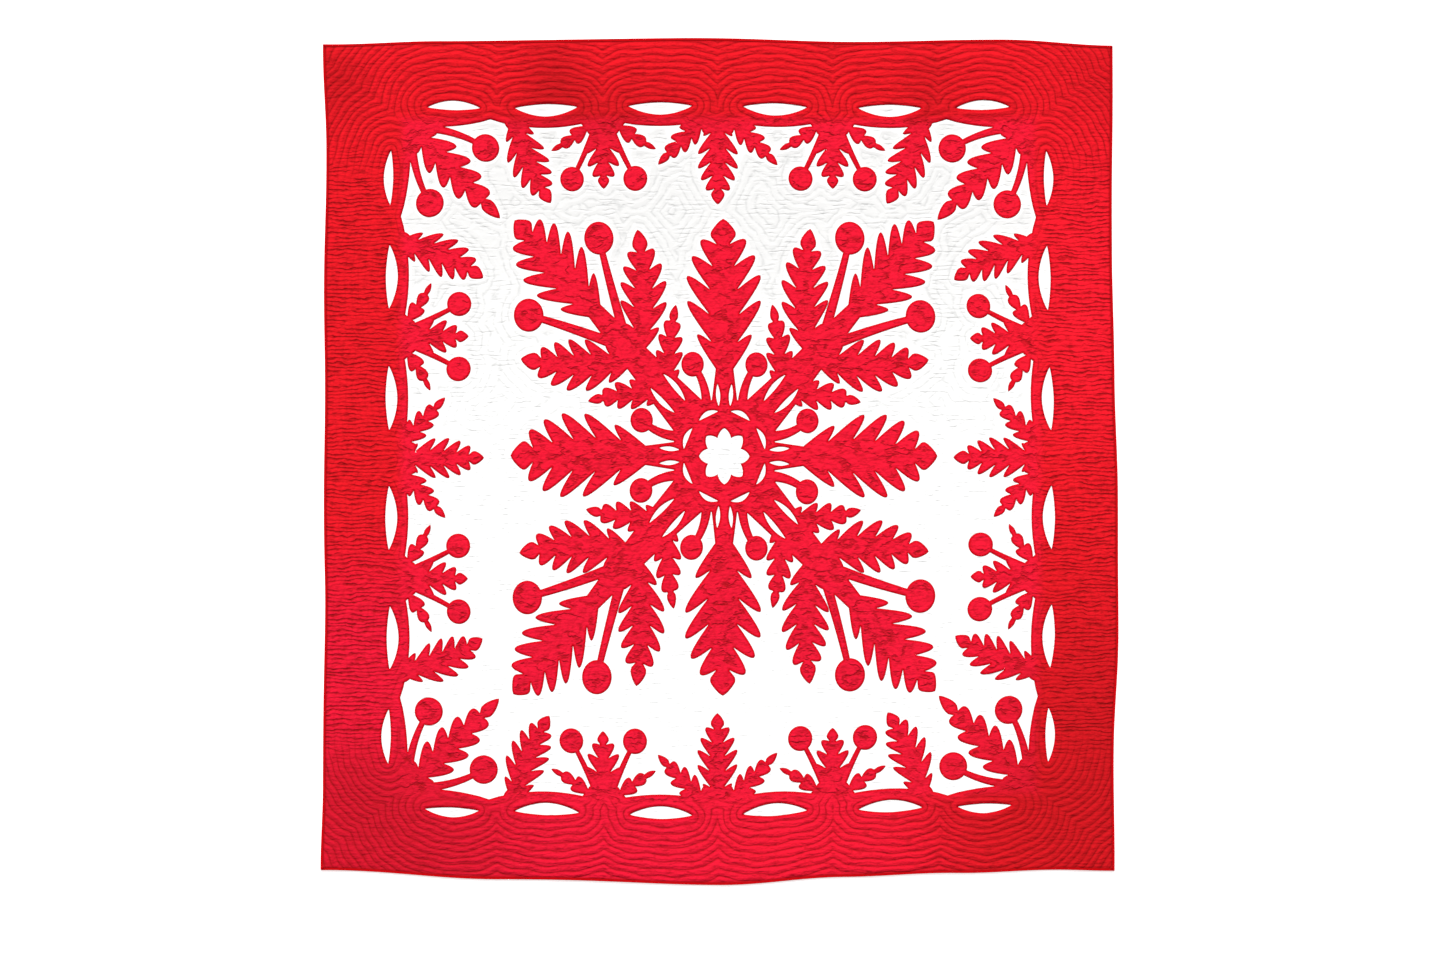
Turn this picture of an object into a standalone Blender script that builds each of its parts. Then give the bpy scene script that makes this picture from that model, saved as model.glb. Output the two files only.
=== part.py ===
"""Tivaevae quilt: a white wadded cloth with a red leaf border and a red leaf medallion sewn on it.

Run with blender --background --python part.py, or from Blender's text editor.
Units are metres and +Z is up. The quilt lies face up, its length along Y, its underside on z = 0
and the middle of its box on x = y = 0. Every piece is one closed solid.
"""
import math

import bpy
import numpy as np
from mathutils import Vector
from mathutils.geometry import delaunay_2d_cdt

# Cloth
HALF_WIDTH = 1.103
HALF_LENGTH = 1.150
HALF = np.array([HALF_WIDTH, HALF_LENGTH])
EDGE_STEPS = 16
GAP = 0.0003

# Heights above the surface that the quilt lies on
FLAP_TOP = 0.0010
TONGUE_BOTTOM = FLAP_TOP + GAP
GROUND_TOP = 0.0033
PUFF_TOP = 0.0056
APPLIQUE_BOTTOM = GROUND_TOP + GAP
APPLIQUE_TOP = 0.0046
ROW_VALLEY = 0.0049
ROW_RIDGE = 0.0067
FRUIT_CROWN = 0.0071
BINDING_UNDER = APPLIQUE_TOP + GAP
BINDING_TOP = BINDING_UNDER + 0.0010

# Binding, measured inwards from the outside of the quilt
BINDING_WIDTH = 0.0070
BINDING_WALL = 0.0010
MITRE_GAP = 0.0003
CLOTH_INSET = BINDING_WALL + GAP
TONGUE_END = 0.0080
TONGUE_RAMP_END = 0.0095

# How far each edge bows outwards, in millimetres, at a share of the way along it
# columns: share from -1 to 1, bow
TOP_BOW = ((-1.0, 0.0), (-0.7, 13.0), (-0.1, 17.0), (0.35, 9.0), (0.72, 10.0), (1.0, -3.0))
BOTTOM_BOW = ((-1.0, -2.0), (-0.55, 25.0), (0.0, 36.0), (0.32, 18.0), (0.6, 5.0), (0.85, -4.0), (1.0, 0.0))
LEFT_BOW = ((-1.0, 5.0), (-0.8, 0.0), (-0.36, -8.0), (-0.2, -6.0), (0.2, -8.0), (0.45, -6.0),
            (0.75, -11.0), (1.0, 0.0))
RIGHT_BOW = ((-1.0, 3.0), (-0.7, 0.0), (-0.42, 8.0), (-0.1, 7.0), (0.2, 3.0), (0.5, -4.0), (1.0, -8.0))
BOW_SAMPLES = 241
MILLIMETRE = 0.001

# Uneven drift of the whole cloth, in millimetres and radians per metre
# columns: drift across, drift along, turn per metre across, turn per metre along, phase
DRIFT = ((2.2, 1.6, 2.1, 3.7, 0.6), (1.3, 1.8, 6.3, 4.4, 2.1), (0.8, 0.9, 9.7, 12.1, 4.0))

# Motif outlines: points for each lobe, fruit and cut-out, and the lobe's form
LOBE_POINTS = 2
DISC_POINTS = 9
LENS_POINTS = 5
STRIP_POINTS = 3
FIELD_POINTS = 3
PETAL_POINTS = 2
NOTCH_SHARE = 0.40
LOBE_POWER = 2.2
LOBED_SHARE = 0.82
SWELL_POWER = 0.62
SWELL_FULLNESS = 0.8
SWEEP = 0.95
TIP_WIDTH = 0.33
TIP_FULLNESS = 0.72
TIP_START = 0.26
TIP_POWER = 0.85
LENS_POWER = 1.8
LENS_FULLNESS = 0.9

# Medallion, in shares of its half width and half length
MEDALLION_HALF = np.array([0.595, 0.659])
MEDALLION_AT = np.array([0.015, 0.004])
HUB_RADIUS = 0.245
FLOWER_RADIUS = 0.118
PETALS = 8
PETAL_DEPTH = 0.30
PETAL_POWER = 1.3
MEDALLION_STALK = 0.014
# columns: base x, base y, bend x, bend y, tip x, tip y, half width, lobes on a side
MEDALLION_LEAVES = (
    (0.000, 0.330, 0.000, 0.660, 0.000, 0.995, 0.180, 5),
    (0.255, 0.280, 0.275, 0.450, 0.228, 0.640, 0.064, 3),
    (0.405, 0.430, 0.355, 0.680, 0.405, 0.955, 0.112, 4),
    (0.585, 0.585, 0.780, 0.780, 0.988, 0.988, 0.152, 5),
)
# columns: centre x, centre y, radius, stem foot x, stem foot y, stem bend x, stem bend y
MEDALLION_FRUITS = (
    (0.150, 0.388, 0.053, 0.085, 0.180, 0.075, 0.300),
    (0.590, 0.918, 0.070, 0.460, 0.480, 0.545, 0.735),
)
# columns: start x, start y, end x, end y, width at start, width at end
MEDALLION_TRUNKS = (
    (0.000, 0.120, 0.000, 0.460, 0.150, 0.060),
    (0.080, 0.080, 0.640, 0.640, 0.210, 0.070),
)
FRUIT_STEM = (0.050, 0.028)
# columns: centre x, centre y, half length, half width, turn in radians, camber
MEDALLION_SLITS = (
    (0.030, 0.258, 0.046, 0.0095, 1.50, 0.000),
    (0.235, 0.290, 0.075, 0.0115, 0.83, 0.006),
    (0.074, 0.170, 0.048, 0.0105, -0.42, 0.010),
)

# Border, in metres inwards from the edge and along it, and in bays between hubs
BAY_SHARE = 0.29
FIELD_BAYS = 2.62
FIELD_DEPTH = 0.214
FIELD_SCALLOP = 0.024
SCALLOP_POWER = 0.8
HUB_DEPTH = 0.215
HUB_KNOB = 0.032
KNOB_BAYS = (0.0, 1.0, 1.78)
BORDER_STALK = 0.007
# columns: hub in bays, then offset and depth of base, bend and tip, half width, lobes on a side
BORDER_LEAVES = (
    (0.00, 0.000, 0.205, 0.000, 0.325, 0.000, 0.452, 0.057, 5),
    (0.00, 0.024, 0.212, 0.086, 0.262, 0.166, 0.342, 0.034, 4),
    (1.00, 0.000, 0.205, 0.000, 0.300, 0.000, 0.405, 0.050, 4),
    (1.00, 0.018, 0.214, 0.072, 0.264, 0.148, 0.300, 0.024, 2),
    (1.00, -0.018, 0.214, -0.072, 0.264, -0.148, 0.300, 0.024, 2),
    (1.78, 0.000, 0.205, -0.020, 0.330, -0.098, 0.445, 0.058, 5),
)
# columns: hub in bays, foot offset, bend offset, bend depth, centre offset, centre depth, radius
BORDER_FRUITS = (
    (1.00, 0.012, 0.050, 0.310, 0.090, 0.378, 0.034),
    (1.00, -0.012, -0.050, 0.310, -0.090, 0.378, 0.034),
)
BORDER_STEM = (0.020, 0.012)
# columns: place in bays, half length, half width, camber
LENSES = ((0.5, 0.088, 0.0165, 0.007), (1.5, 0.088, 0.0165, 0.007), (2.32, 0.074, 0.0130, -0.006))
LENS_DEPTH = 0.183
# columns: depths from both edges of base, bend and tip, half width, lobes on a side
CORNER_LEAVES = ((0.235, 0.235, 0.350, 0.350, 0.490, 0.490, 0.056, 5),)
# columns: depths from both edges of stem foot, stem bend and centre, radius
CORNER_FRUITS = (
    (0.270, 0.240, 0.370, 0.246, 0.448, 0.294, 0.039),
    (0.240, 0.270, 0.246, 0.370, 0.294, 0.448, 0.039),
)
CORNER_KNOB = (0.225, 0.062)
CORNER_STEM = (0.026, 0.014)

# Quilting
ROW_PITCH = 0.024
FIRST_ROW = 0.032
LAST_ROW = 0.290
RIM_MARGIN = 0.015
FLAT_RIM = 0.0085
RAYS_PER_BAY = 4
STRAIGHT_BAYS = 2.5
FAN_DEPTH = 0.300
FAN_RAYS = 7
RAY_STEPS = 90
# columns: half width, half length of a row of puffs round the medallion
PUFF_LOOPS = ((0.645, 0.705), (0.730, 0.785), (0.810, 0.865))
PUFF_POINTS = 96
PUFF_ROUNDNESS = 5.0
PUFF_HALF_WIDTH = 0.012
PUFF_CLEAR = 0.017
MIDRIB_SHARES = (0.15, 0.45, 0.75)
FRUIT_RING = 4
FRUIT_RING_SHARE = 0.6

SPOT_CLEAR = 0.006
MERGE = 1e-5

# Colours and finish
# columns: slot, red, green, blue, roughness
FINISHES = {
    "white_cotton": (0.93, 0.93, 0.92, 0.85),
    "red_cotton": (0.74, 0.012, 0.026, 0.80),
    "red_binding": (0.60, 0.008, 0.016, 0.75),
}


def bow_at(table, share):
    """Bow in metres: each station of the table eases into the next along a half cosine."""
    stations, bows = np.array(table).T
    place = np.interp(share, stations, np.arange(len(stations)))
    whole = np.minimum(place.astype(int), len(stations) - 2)
    ease = 0.5 - 0.5 * np.cos(math.pi * (place - whole))
    return (bows[whole] + (bows[whole + 1] - bows[whole]) * ease) * MILLIMETRE


def drift(points):
    """Cloth points moved by the bow of the nearest edges and by the slow drift of the cloth."""
    moved = np.array(points, float)
    across, along = np.clip(moved / HALF, -1.0, 1.0).T
    right, left = np.maximum(across, 0.0) ** 2, np.maximum(-across, 0.0) ** 2
    top, bottom = np.maximum(along, 0.0) ** 2, np.maximum(-along, 0.0) ** 2
    shift_x = bow_at(RIGHT_BOW, along) * right - bow_at(LEFT_BOW, along) * left
    shift_y = bow_at(TOP_BOW, across) * top - bow_at(BOTTOM_BOW, across) * bottom
    for drift_x, drift_y, turn_x, turn_y, phase in DRIFT:
        wave = moved[:, 0] * turn_x + moved[:, 1] * turn_y + phase
        shift_x = shift_x + drift_x * MILLIMETRE * np.sin(wave)
        shift_y = shift_y + drift_y * MILLIMETRE * np.cos(wave)
    return moved + np.column_stack([shift_x, shift_y])


def rim_centre():
    """Middle of the box round the bowed outline of the quilt."""
    share = np.linspace(-1.0, 1.0, BOW_SAMPLES)
    one = np.ones_like(share)
    sides = [(share, one), (share, -one), (one, share), (-one, share)]
    rim = drift(np.vstack([np.column_stack(side) for side in sides]) * HALF)
    return (rim.max(axis=0) + rim.min(axis=0)) / 2.0


CENTRE = rim_centre()


def place(points):
    """Cloth points as they lie on the surface, with the quilt's box centred."""
    return drift(points) - CENTRE


def curve(start, bend, end, share):
    """Points and unit ways at shares of a quadratic curve."""
    start, bend, end = np.array(start), np.array(bend), np.array(end)
    share = share[:, None]
    path = (1.0 - share) ** 2 * start + 2.0 * share * (1.0 - share) * bend + share ** 2 * end
    way = (1.0 - share) * (bend - start) + share * (end - bend)
    return path, way / np.hypot(way[:, :1], way[:, 1:])


def leaf(base, bend, tip, half_width, lobes, stalk):
    """Outline of a lobed leaf: humps on a swelling half width, swept forwards, and a pointed tip."""
    step = np.linspace(0.0, lobes, lobes * LOBE_POINTS + 1)
    hump = 1.0 - np.abs(2.0 * (step % 1.0) - 1.0) ** LOBE_POWER
    share = LOBED_SHARE * step / lobes
    swell = np.sin(math.pi * share ** SWELL_POWER) ** SWELL_FULLNESS
    wide = np.maximum(half_width * swell * (NOTCH_SHARE + (1.0 - NOTCH_SHARE) * hump), stalk)
    forward = share + SWEEP * (wide - stalk) / math.dist(base, tip)
    end = np.linspace(0.0, 1.0, LOBE_POINTS + 1)[1:]
    neck = forward[-1]
    swell = np.sin(math.pi * (TIP_START + (1.0 - TIP_START) * end) ** TIP_POWER) ** TIP_FULLNESS
    tip_wide = half_width * TIP_WIDTH * swell
    shear = SWEEP * (tip_wide - wide[-1]) * (1.0 - end) ** 2 / math.dist(base, tip)
    wide = np.append(wide, tip_wide)
    forward = np.append(forward, neck + (1.0 - neck) * end + shear)
    path, way = curve(base, bend, tip, forward)
    side = np.column_stack([way[:, 1], -way[:, 0]]) * wide[:, None]
    return np.vstack([path + side, (path - side)[-2::-1]])


def disc(centre, radius):
    """Outline of a round fruit or knob."""
    turn = np.linspace(0.0, 2.0 * math.pi, DISC_POINTS, endpoint=False)
    return np.array(centre) + radius * np.column_stack([np.cos(turn), np.sin(turn)])


def strip(start, bend, end, start_width, end_width):
    """Outline of a stem or trunk: a quadratic curve with a width that changes evenly along it."""
    share = np.linspace(0.0, 1.0, STRIP_POINTS)
    path, way = curve(start, bend, end, share)
    half = (start_width + (end_width - start_width) * share) / 2.0
    side = np.column_stack([way[:, 1], -way[:, 0]]) * half[:, None]
    return np.vstack([path + side, (path - side)[::-1]])


def lens(centre, half_length, half_width, turn, camber):
    """Outline of a pointed oval that is bowed by its camber and turned."""
    share = np.linspace(-1.0, 1.0, LENS_POINTS)
    rise = half_width * (1.0 - np.abs(share) ** LENS_POWER) ** LENS_FULLNESS
    bow = camber * (1.0 - share ** 2)
    upper = np.column_stack([half_length * share, bow + rise])
    lower = np.column_stack([half_length * share, bow - rise])[-2:0:-1]
    cosine, sine = math.cos(turn), math.sin(turn)
    return np.array(centre) + np.vstack([upper, lower]) @ np.array([[cosine, sine], [-sine, cosine]])


def flower(radius):
    """Outline of the middle flower: a circle whose radius falls on both sides of each petal's tip."""
    turn = np.linspace(0.0, 2.0 * math.pi, PETAL_POINTS * PETALS, endpoint=False)
    aside = np.abs(2.0 * ((turn * PETALS / (2.0 * math.pi) + 0.5) % 1.0) - 1.0)
    reach = radius * (1.0 - PETAL_DEPTH * aside ** PETAL_POWER)
    return np.column_stack([reach * np.cos(turn), reach * np.sin(turn)])


def midrib(base, bend, tip):
    """Raised points along the middle of a leaf."""
    path, _ = curve(base, bend, tip, np.array(MIDRIB_SHARES))
    return [(point, ROW_RIDGE) for point in path]


def dome(centre, radius):
    """Raised points over a fruit: a crown and a ring round it."""
    turn = np.linspace(0.0, 2.0 * math.pi, FRUIT_RING, endpoint=False)
    ring = np.array(centre) + FRUIT_RING_SHARE * radius * np.column_stack([np.cos(turn), np.sin(turn)])
    return [(np.array(centre), FRUIT_CROWN)] + [(point, ROW_RIDGE) for point in ring]


def eightfold(shape):
    """The eight mirrored turns of a shape about the middle of the medallion."""
    turns = []
    for points in (shape, shape[:, ::-1]):
        for side in ((1, 1), (-1, 1), (1, -1), (-1, -1)):
            turns.append(MEDALLION_AT + points * side * MEDALLION_HALF)
    return turns


def medallion_layers():
    """Layers of the medallion as (outline, is red), and its raised points."""
    reds, raised = [], []
    for *spine, half_width, lobes in MEDALLION_LEAVES:
        base, bend, tip = np.reshape(spine, (3, 2))
        reds.append(leaf(base, bend, tip, half_width, lobes, MEDALLION_STALK))
        raised += midrib(base, bend, tip)
    for x, y, radius, foot_x, foot_y, bend_x, bend_y in MEDALLION_FRUITS:
        reds.append(disc((x, y), radius))
        reds.append(strip((foot_x, foot_y), (bend_x, bend_y), (x, y), *FRUIT_STEM))
        raised += dome((x, y), radius)
    for start_x, start_y, end_x, end_y, start_width, end_width in MEDALLION_TRUNKS:
        start, end = np.array((start_x, start_y)), np.array((end_x, end_y))
        reds.append(strip(start, (start + end) / 2.0, end, start_width, end_width))
    layers = [(ring, True) for shape in reds for ring in eightfold(shape)]
    layers.append((MEDALLION_AT + disc((0.0, 0.0), HUB_RADIUS) * MEDALLION_HALF, True))
    for x, y, half_length, half_width, turn, camber in MEDALLION_SLITS:
        slit = lens((x, y), half_length, half_width, turn, camber)
        layers += [(ring, False) for ring in eightfold(slit)]
    layers.append((MEDALLION_AT + flower(FLOWER_RADIUS) * MEDALLION_HALF, False))
    heights = []
    for point, height in raised:
        heights += [(ring[0], height) for ring in eightfold(point[None, :])]
    return layers, heights


def side_frames():
    """The two kinds of side: length half, depth half, and whether the side runs along Y."""
    return ((HALF_WIDTH, HALF_LENGTH, False), (HALF_LENGTH, HALF_WIDTH, True))


def on_side(points, depth_half, upright):
    """Points given along and inwards from an edge, on both of the sides of that kind, mirrored."""
    laid = np.column_stack([points[:, 0], depth_half - points[:, 1]])
    if upright:
        laid = laid[:, ::-1]
    return [laid * side for side in ((1, 1), (-1, 1), (1, -1), (-1, -1))]


def on_corners(points):
    """Points given inwards from two edges, at the four corners."""
    return [(HALF - points) * side for side in ((1, 1), (-1, 1), (1, -1), (-1, -1))]


def rim(inset, steps):
    """Outline of the cloth at an inset, with steps on each edge, anticlockwise."""
    share = np.linspace(-1.0, 1.0, steps, endpoint=False)
    one = np.ones_like(share)
    sides = [(share, -one), (one, share), (-share, one), (-one, -share)]
    return np.vstack([np.column_stack(side) for side in sides]) * (HALF - inset)


def white_field():
    """Outline of the open white field: a depth that swells between the hubs, with cut corners."""
    ring = []
    for turn in range(4):
        long_half, depth_half, _ = side_frames()[turn % 2]
        bay = BAY_SHARE * long_half
        scallops = int(FIELD_BAYS * 2.0)
        run = np.linspace(scallops / 2.0, -scallops / 2.0, scallops * FIELD_POINTS + 1)
        run = np.concatenate([[FIELD_BAYS], run, [-FIELD_BAYS]]) * bay
        depth = FIELD_DEPTH + FIELD_SCALLOP * np.abs(np.sin(math.pi * run / bay)) ** SCALLOP_POWER
        side = np.column_stack([run, depth_half - depth])
        cosine, sine = round(math.cos(turn * math.pi / 2)), round(math.sin(turn * math.pi / 2))
        ring.append(side @ np.array([[cosine, sine], [-sine, cosine]]))
    return np.vstack(ring)


def border_layers():
    """Layers of the border as (outline, is red), and its raised points."""
    reds, whites, raised = [], [], []
    for long_half, depth_half, upright in side_frames():
        bay = BAY_SHARE * long_half
        for hub, *spine, half_width, lobes in BORDER_LEAVES:
            base, bend, tip = np.reshape(spine, (3, 2)) + (hub * bay, 0.0)
            reds += on_side(leaf(base, bend, tip, half_width, lobes, BORDER_STALK), depth_half, upright)
            for point, height in midrib(base, bend, tip):
                raised += [(laid[0], height) for laid in on_side(point[None, :], depth_half, upright)]
        for hub, foot, bend_x, bend_y, x, depth, radius in BORDER_FRUITS:
            at = hub * bay
            stem = strip((at + foot, HUB_DEPTH), (at + bend_x, bend_y), (at + x, depth), *BORDER_STEM)
            reds += on_side(disc((at + x, depth), radius), depth_half, upright)
            reds += on_side(stem, depth_half, upright)
            for point, height in dome((at + x, depth), radius):
                raised += [(laid[0], height) for laid in on_side(point[None, :], depth_half, upright)]
        for hub in KNOB_BAYS:
            reds += on_side(disc((hub * bay, HUB_DEPTH), HUB_KNOB), depth_half, upright)
        for bays, half_length, half_width, camber in LENSES:
            cut = lens((bays * bay, LENS_DEPTH), half_length, half_width, 0.0, camber)
            whites += on_side(cut, depth_half, upright)
    for *spine, half_width, lobes in CORNER_LEAVES:
        base, bend, tip = np.reshape(spine, (3, 2))
        reds += on_corners(leaf(base, bend, tip, half_width, lobes, BORDER_STALK))
        for point, height in midrib(base, bend, tip):
            raised += [(laid[0], height) for laid in on_corners(point[None, :])]
    for *stem, radius in CORNER_FRUITS:
        reds += on_corners(disc(stem[4:], radius))
        reds += on_corners(strip(stem[:2], stem[2:4], stem[4:], *CORNER_STEM))
        for point, height in dome(stem[4:], radius):
            raised += [(laid[0], height) for laid in on_corners(point[None, :])]
    knob_depth, knob_radius = CORNER_KNOB
    reds += on_corners(disc((knob_depth, knob_depth), knob_radius))
    layers = [(rim(CLOTH_INSET, EDGE_STEPS), True), (white_field(), False)]
    layers += [(ring, True) for ring in reds] + [(ring, False) for ring in whites]
    return layers, raised


def lens_chain():
    """Start and end points of the middle line of each lens cut-out."""
    starts, ends = [], []
    for long_half, depth_half, upright in side_frames():
        bay = BAY_SHARE * long_half
        for bays, half_length, _, _ in LENSES:
            line = np.array([(bays * bay - half_length, LENS_DEPTH), (bays * bay + half_length, LENS_DEPTH)])
            for laid in on_side(line, depth_half, upright):
                starts.append(laid[0])
                ends.append(laid[1])
    return np.array(starts), np.array(ends)


def distance_to_lines(points, starts, ends):
    """Distance from each point to the nearest of the straight lines."""
    along = ends - starts
    offset = points[:, None, :] - starts
    share = np.clip((offset * along).sum(-1) / np.maximum((along ** 2).sum(-1), MERGE ** 2), 0.0, 1.0)
    nearest = offset - share[..., None] * along
    return np.sqrt((nearest ** 2).sum(-1)).min(axis=1)


def border_rays():
    """Foot and direction of the rays from the lens chain outwards, once round the quilt."""
    feet, ways = [], []
    for turn in range(4):
        long_half, depth_half, _ = side_frames()[turn % 2]
        bay = BAY_SHARE * long_half
        count = int(2 * STRAIGHT_BAYS * RAYS_PER_BAY) + 1
        run = np.linspace(STRAIGHT_BAYS, -STRAIGHT_BAYS, count) * bay
        foot = np.column_stack([run, np.full(count, depth_half - LENS_DEPTH)])
        way = np.tile((0.0, 1.0), (count, 1))
        fan = np.linspace(0.0, 1.0, FAN_RAYS + 2)[1:-1] * math.pi / 2
        foot = np.vstack([foot, np.tile((FAN_DEPTH - long_half, depth_half - FAN_DEPTH), (FAN_RAYS, 1))])
        way = np.vstack([way, np.column_stack([-np.sin(fan), np.cos(fan)])])
        cosine, sine = round(math.cos(turn * math.pi / 2)), round(math.sin(turn * math.pi / 2))
        about = np.array([[cosine, sine], [-sine, cosine]])
        feet.append(foot @ about)
        ways.append(way @ about)
    return np.vstack(feet), np.vstack(ways)


def border_rows():
    """Lines of quilting in the outer border, each a list of points or None, and its height.

    A row joins the places on the rays whose distance to the lens chain is the row's own. The last
    line keeps the cloth flat where the binding folds over it.
    """
    starts, ends = lens_chain()
    levels = np.arange(FIRST_ROW, LAST_ROW, ROW_PITCH)
    reach = np.linspace(0.0, LAST_ROW + ROW_PITCH, RAY_STEPS)
    rows = [([], ROW_VALLEY if index % 2 else ROW_RIDGE) for index in range(len(levels))]
    for foot, way in zip(*border_rays()):
        away = distance_to_lines(foot + reach[:, None] * way, starts, ends)
        crossing = np.interp(levels, np.maximum.accumulate(away), reach)
        for (row, _), length in zip(rows, crossing):
            point = foot + length * way
            clear = length > MERGE and np.all(np.abs(point) < HALF - RIM_MARGIN)
            row.append(point if clear else None)
    flat_rim = rim(FLAT_RIM, EDGE_STEPS)
    return rows + [(list(flat_rim) + [flat_rim[0]], APPLIQUE_TOP)]


def superellipse(half_x, half_y, count):
    """Points and outward directions round a rectangle with rounded corners."""
    turn = np.linspace(0.0, 2.0 * math.pi, count, endpoint=False)
    cosine, sine = np.cos(turn), np.sin(turn)
    reach = (np.abs(cosine) ** PUFF_ROUNDNESS + np.abs(sine) ** PUFF_ROUNDNESS) ** (-1.0 / PUFF_ROUNDNESS)
    points = np.column_stack([half_x * reach * cosine, half_y * reach * sine])
    way = np.roll(points, -1, axis=0) - np.roll(points, 1, axis=0)
    way = np.column_stack([way[:, 1], -way[:, 0]])
    return points, way / np.hypot(way[:, :1], way[:, 1:])


def white_puffs(layers):
    """Runs of raised quilting in the white field, each as its inner, middle and outer points.

    Each loop round the medallion is kept where it is white and well clear of the red cloths.
    """
    starts, ends = outline_of(layers)
    runs = []
    for half_x, half_y in PUFF_LOOPS:
        points, ways = superellipse(half_x, half_y, PUFF_POINTS)
        clear = (distance_to_lines(points, starts, ends) > PUFF_CLEAR) & ~inside(points, starts, ends)
        run = []
        for point, way, is_clear in zip(points, ways, clear):
            if is_clear:
                run.append((point - PUFF_HALF_WIDTH * way, point, point + PUFF_HALF_WIDTH * way))
            elif run:
                runs.append(np.array(run))
                run = []
        if run:
            runs.append(np.array(run))
    return [run for run in runs if len(run) > 2]


def anticlockwise(outline):
    """The outline, turned round if it runs clockwise."""
    after = np.roll(outline, -1, axis=0)
    area = (outline[:, 0] * after[:, 1] - outline[:, 1] * after[:, 0]).sum()
    return outline if area > 0.0 else outline[::-1]


def triangulate(outlines, lines, spots):
    """Delaunay triangles over outlines, raised lines and raised spots.

    Returns the points, the height asked for at each (or NaN), the triangles, and for each triangle
    the number of the last outline that covers it, or -1.
    """
    points, heights, edges, faces = [], [], [], []
    for outline in outlines:
        first = len(points)
        points += [Vector(point) for point in anticlockwise(outline)]
        heights += [math.nan] * len(outline)
        faces.append(list(range(first, len(points))))
    for line, height in lines:
        previous = None
        for point in line:
            if point is None:
                previous = None
                continue
            points.append(Vector(point))
            heights.append(height)
            if previous is not None:
                edges.append((previous, len(points) - 1))
            previous = len(points) - 1
    for point, height in spots:
        points.append(Vector(point))
        heights.append(height)
    laid, _, triangles, from_points, _, from_faces = delaunay_2d_cdt(points, edges, faces, 0, MERGE)
    asked = [max((heights[index] for index in source), default=math.nan) for source in from_points]
    cover = [max(source, default=-1) for source in from_faces]
    return np.array([tuple(point) for point in laid]), np.array(asked), triangles, cover


def closed_sheet(points, top, bottom, triangles):
    """Vertices and faces of a sheet: the triangles above, the same turned over below, and walls."""
    used = sorted({index for triangle in triangles for index in triangle})
    renumber = {old: new for new, old in enumerate(used)}
    triangles = [tuple(renumber[index] for index in triangle) for triangle in triangles]
    count = len(used)
    flat = place(points[used])
    under = np.full(count, bottom)
    vertices = np.vstack([np.column_stack([flat, top[used]]), np.column_stack([flat, under])])
    faces = triangles + [tuple(index + count for index in reversed(triangle)) for triangle in triangles]
    walls = [(two, one, one + count, two + count) for one, two in cut_edges(triangles)]
    return vertices, faces + walls


def make_object(name, vertices, faces, slot):
    """One named object with its own material."""
    mesh = bpy.data.meshes.new(name)
    mesh.from_pydata([tuple(vertex) for vertex in vertices], [], faces)
    mesh.validate()
    piece = bpy.data.objects.new(name, mesh)
    bpy.context.collection.objects.link(piece)
    red, green, blue, roughness = FINISHES[slot]
    material = bpy.data.materials.new(name + "_" + slot)
    material.use_nodes = True
    shader = material.node_tree.nodes["Principled BSDF"]
    shader.inputs["Base Color"].default_value = (red, green, blue, 1.0)
    shader.inputs["Roughness"].default_value = roughness
    shader.inputs["Metallic"].default_value = 0.0
    mesh.materials.append(material)
    return piece


def cut_edges(triangles):
    """The directed edges that only one of the triangles has."""
    directed = {(one, two) for a, b, c in triangles for one, two in ((a, b), (b, c), (c, a))}
    return sorted((one, two) for one, two in directed if (two, one) not in directed)


def outline_of(layers):
    """Start and end points of the cut edges of the red cloth that the layers leave."""
    points, _, triangles, cover = triangulate([ring for ring, _ in layers], [], [])
    red = [triangle for triangle, last in zip(triangles, cover) if last >= 0 and layers[last][1]]
    edges = np.array(cut_edges(red))
    return points[edges[:, 0]], points[edges[:, 1]]


def inside(points, starts, ends):
    """Whether each point is inside the closed outlines: a level line from it meets them oddly often."""
    x, y = points[:, :1], points[:, 1:]
    spans = (starts[:, 1] > y) != (ends[:, 1] > y)
    rise = np.where(starts[:, 1] == ends[:, 1], 1.0, ends[:, 1] - starts[:, 1])
    meets = starts[:, 0] + (y - starts[:, 1]) * (ends[:, 0] - starts[:, 0]) / rise
    return (spans & (meets > x)).sum(axis=1) % 2 == 1


def make_applique(name, layers, lines, spots):
    """A red piece of cloth cut to its layers, with raised quilting, lying on the ground."""
    starts, ends = outline_of(layers)
    cuts = [([start, end], APPLIQUE_TOP) for start, end in zip(starts, ends)]
    spots = [(point, height) for point, height in spots
             if distance_to_lines(point[None, :], starts, ends)[0] > SPOT_CLEAR]
    points, asked, triangles, _ = triangulate([], cuts + lines, spots)
    middles = points[np.array(triangles)].mean(axis=1)
    red = [triangle for triangle, is_in in zip(triangles, inside(middles, starts, ends)) if is_in]
    top = np.where(np.isnan(asked), APPLIQUE_TOP, asked)
    top[sorted({index for edge in cut_edges(red) for index in edge})] = APPLIQUE_TOP
    return make_object(name, *closed_sheet(points, top, APPLIQUE_BOTTOM, red), "red_cotton")


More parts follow.
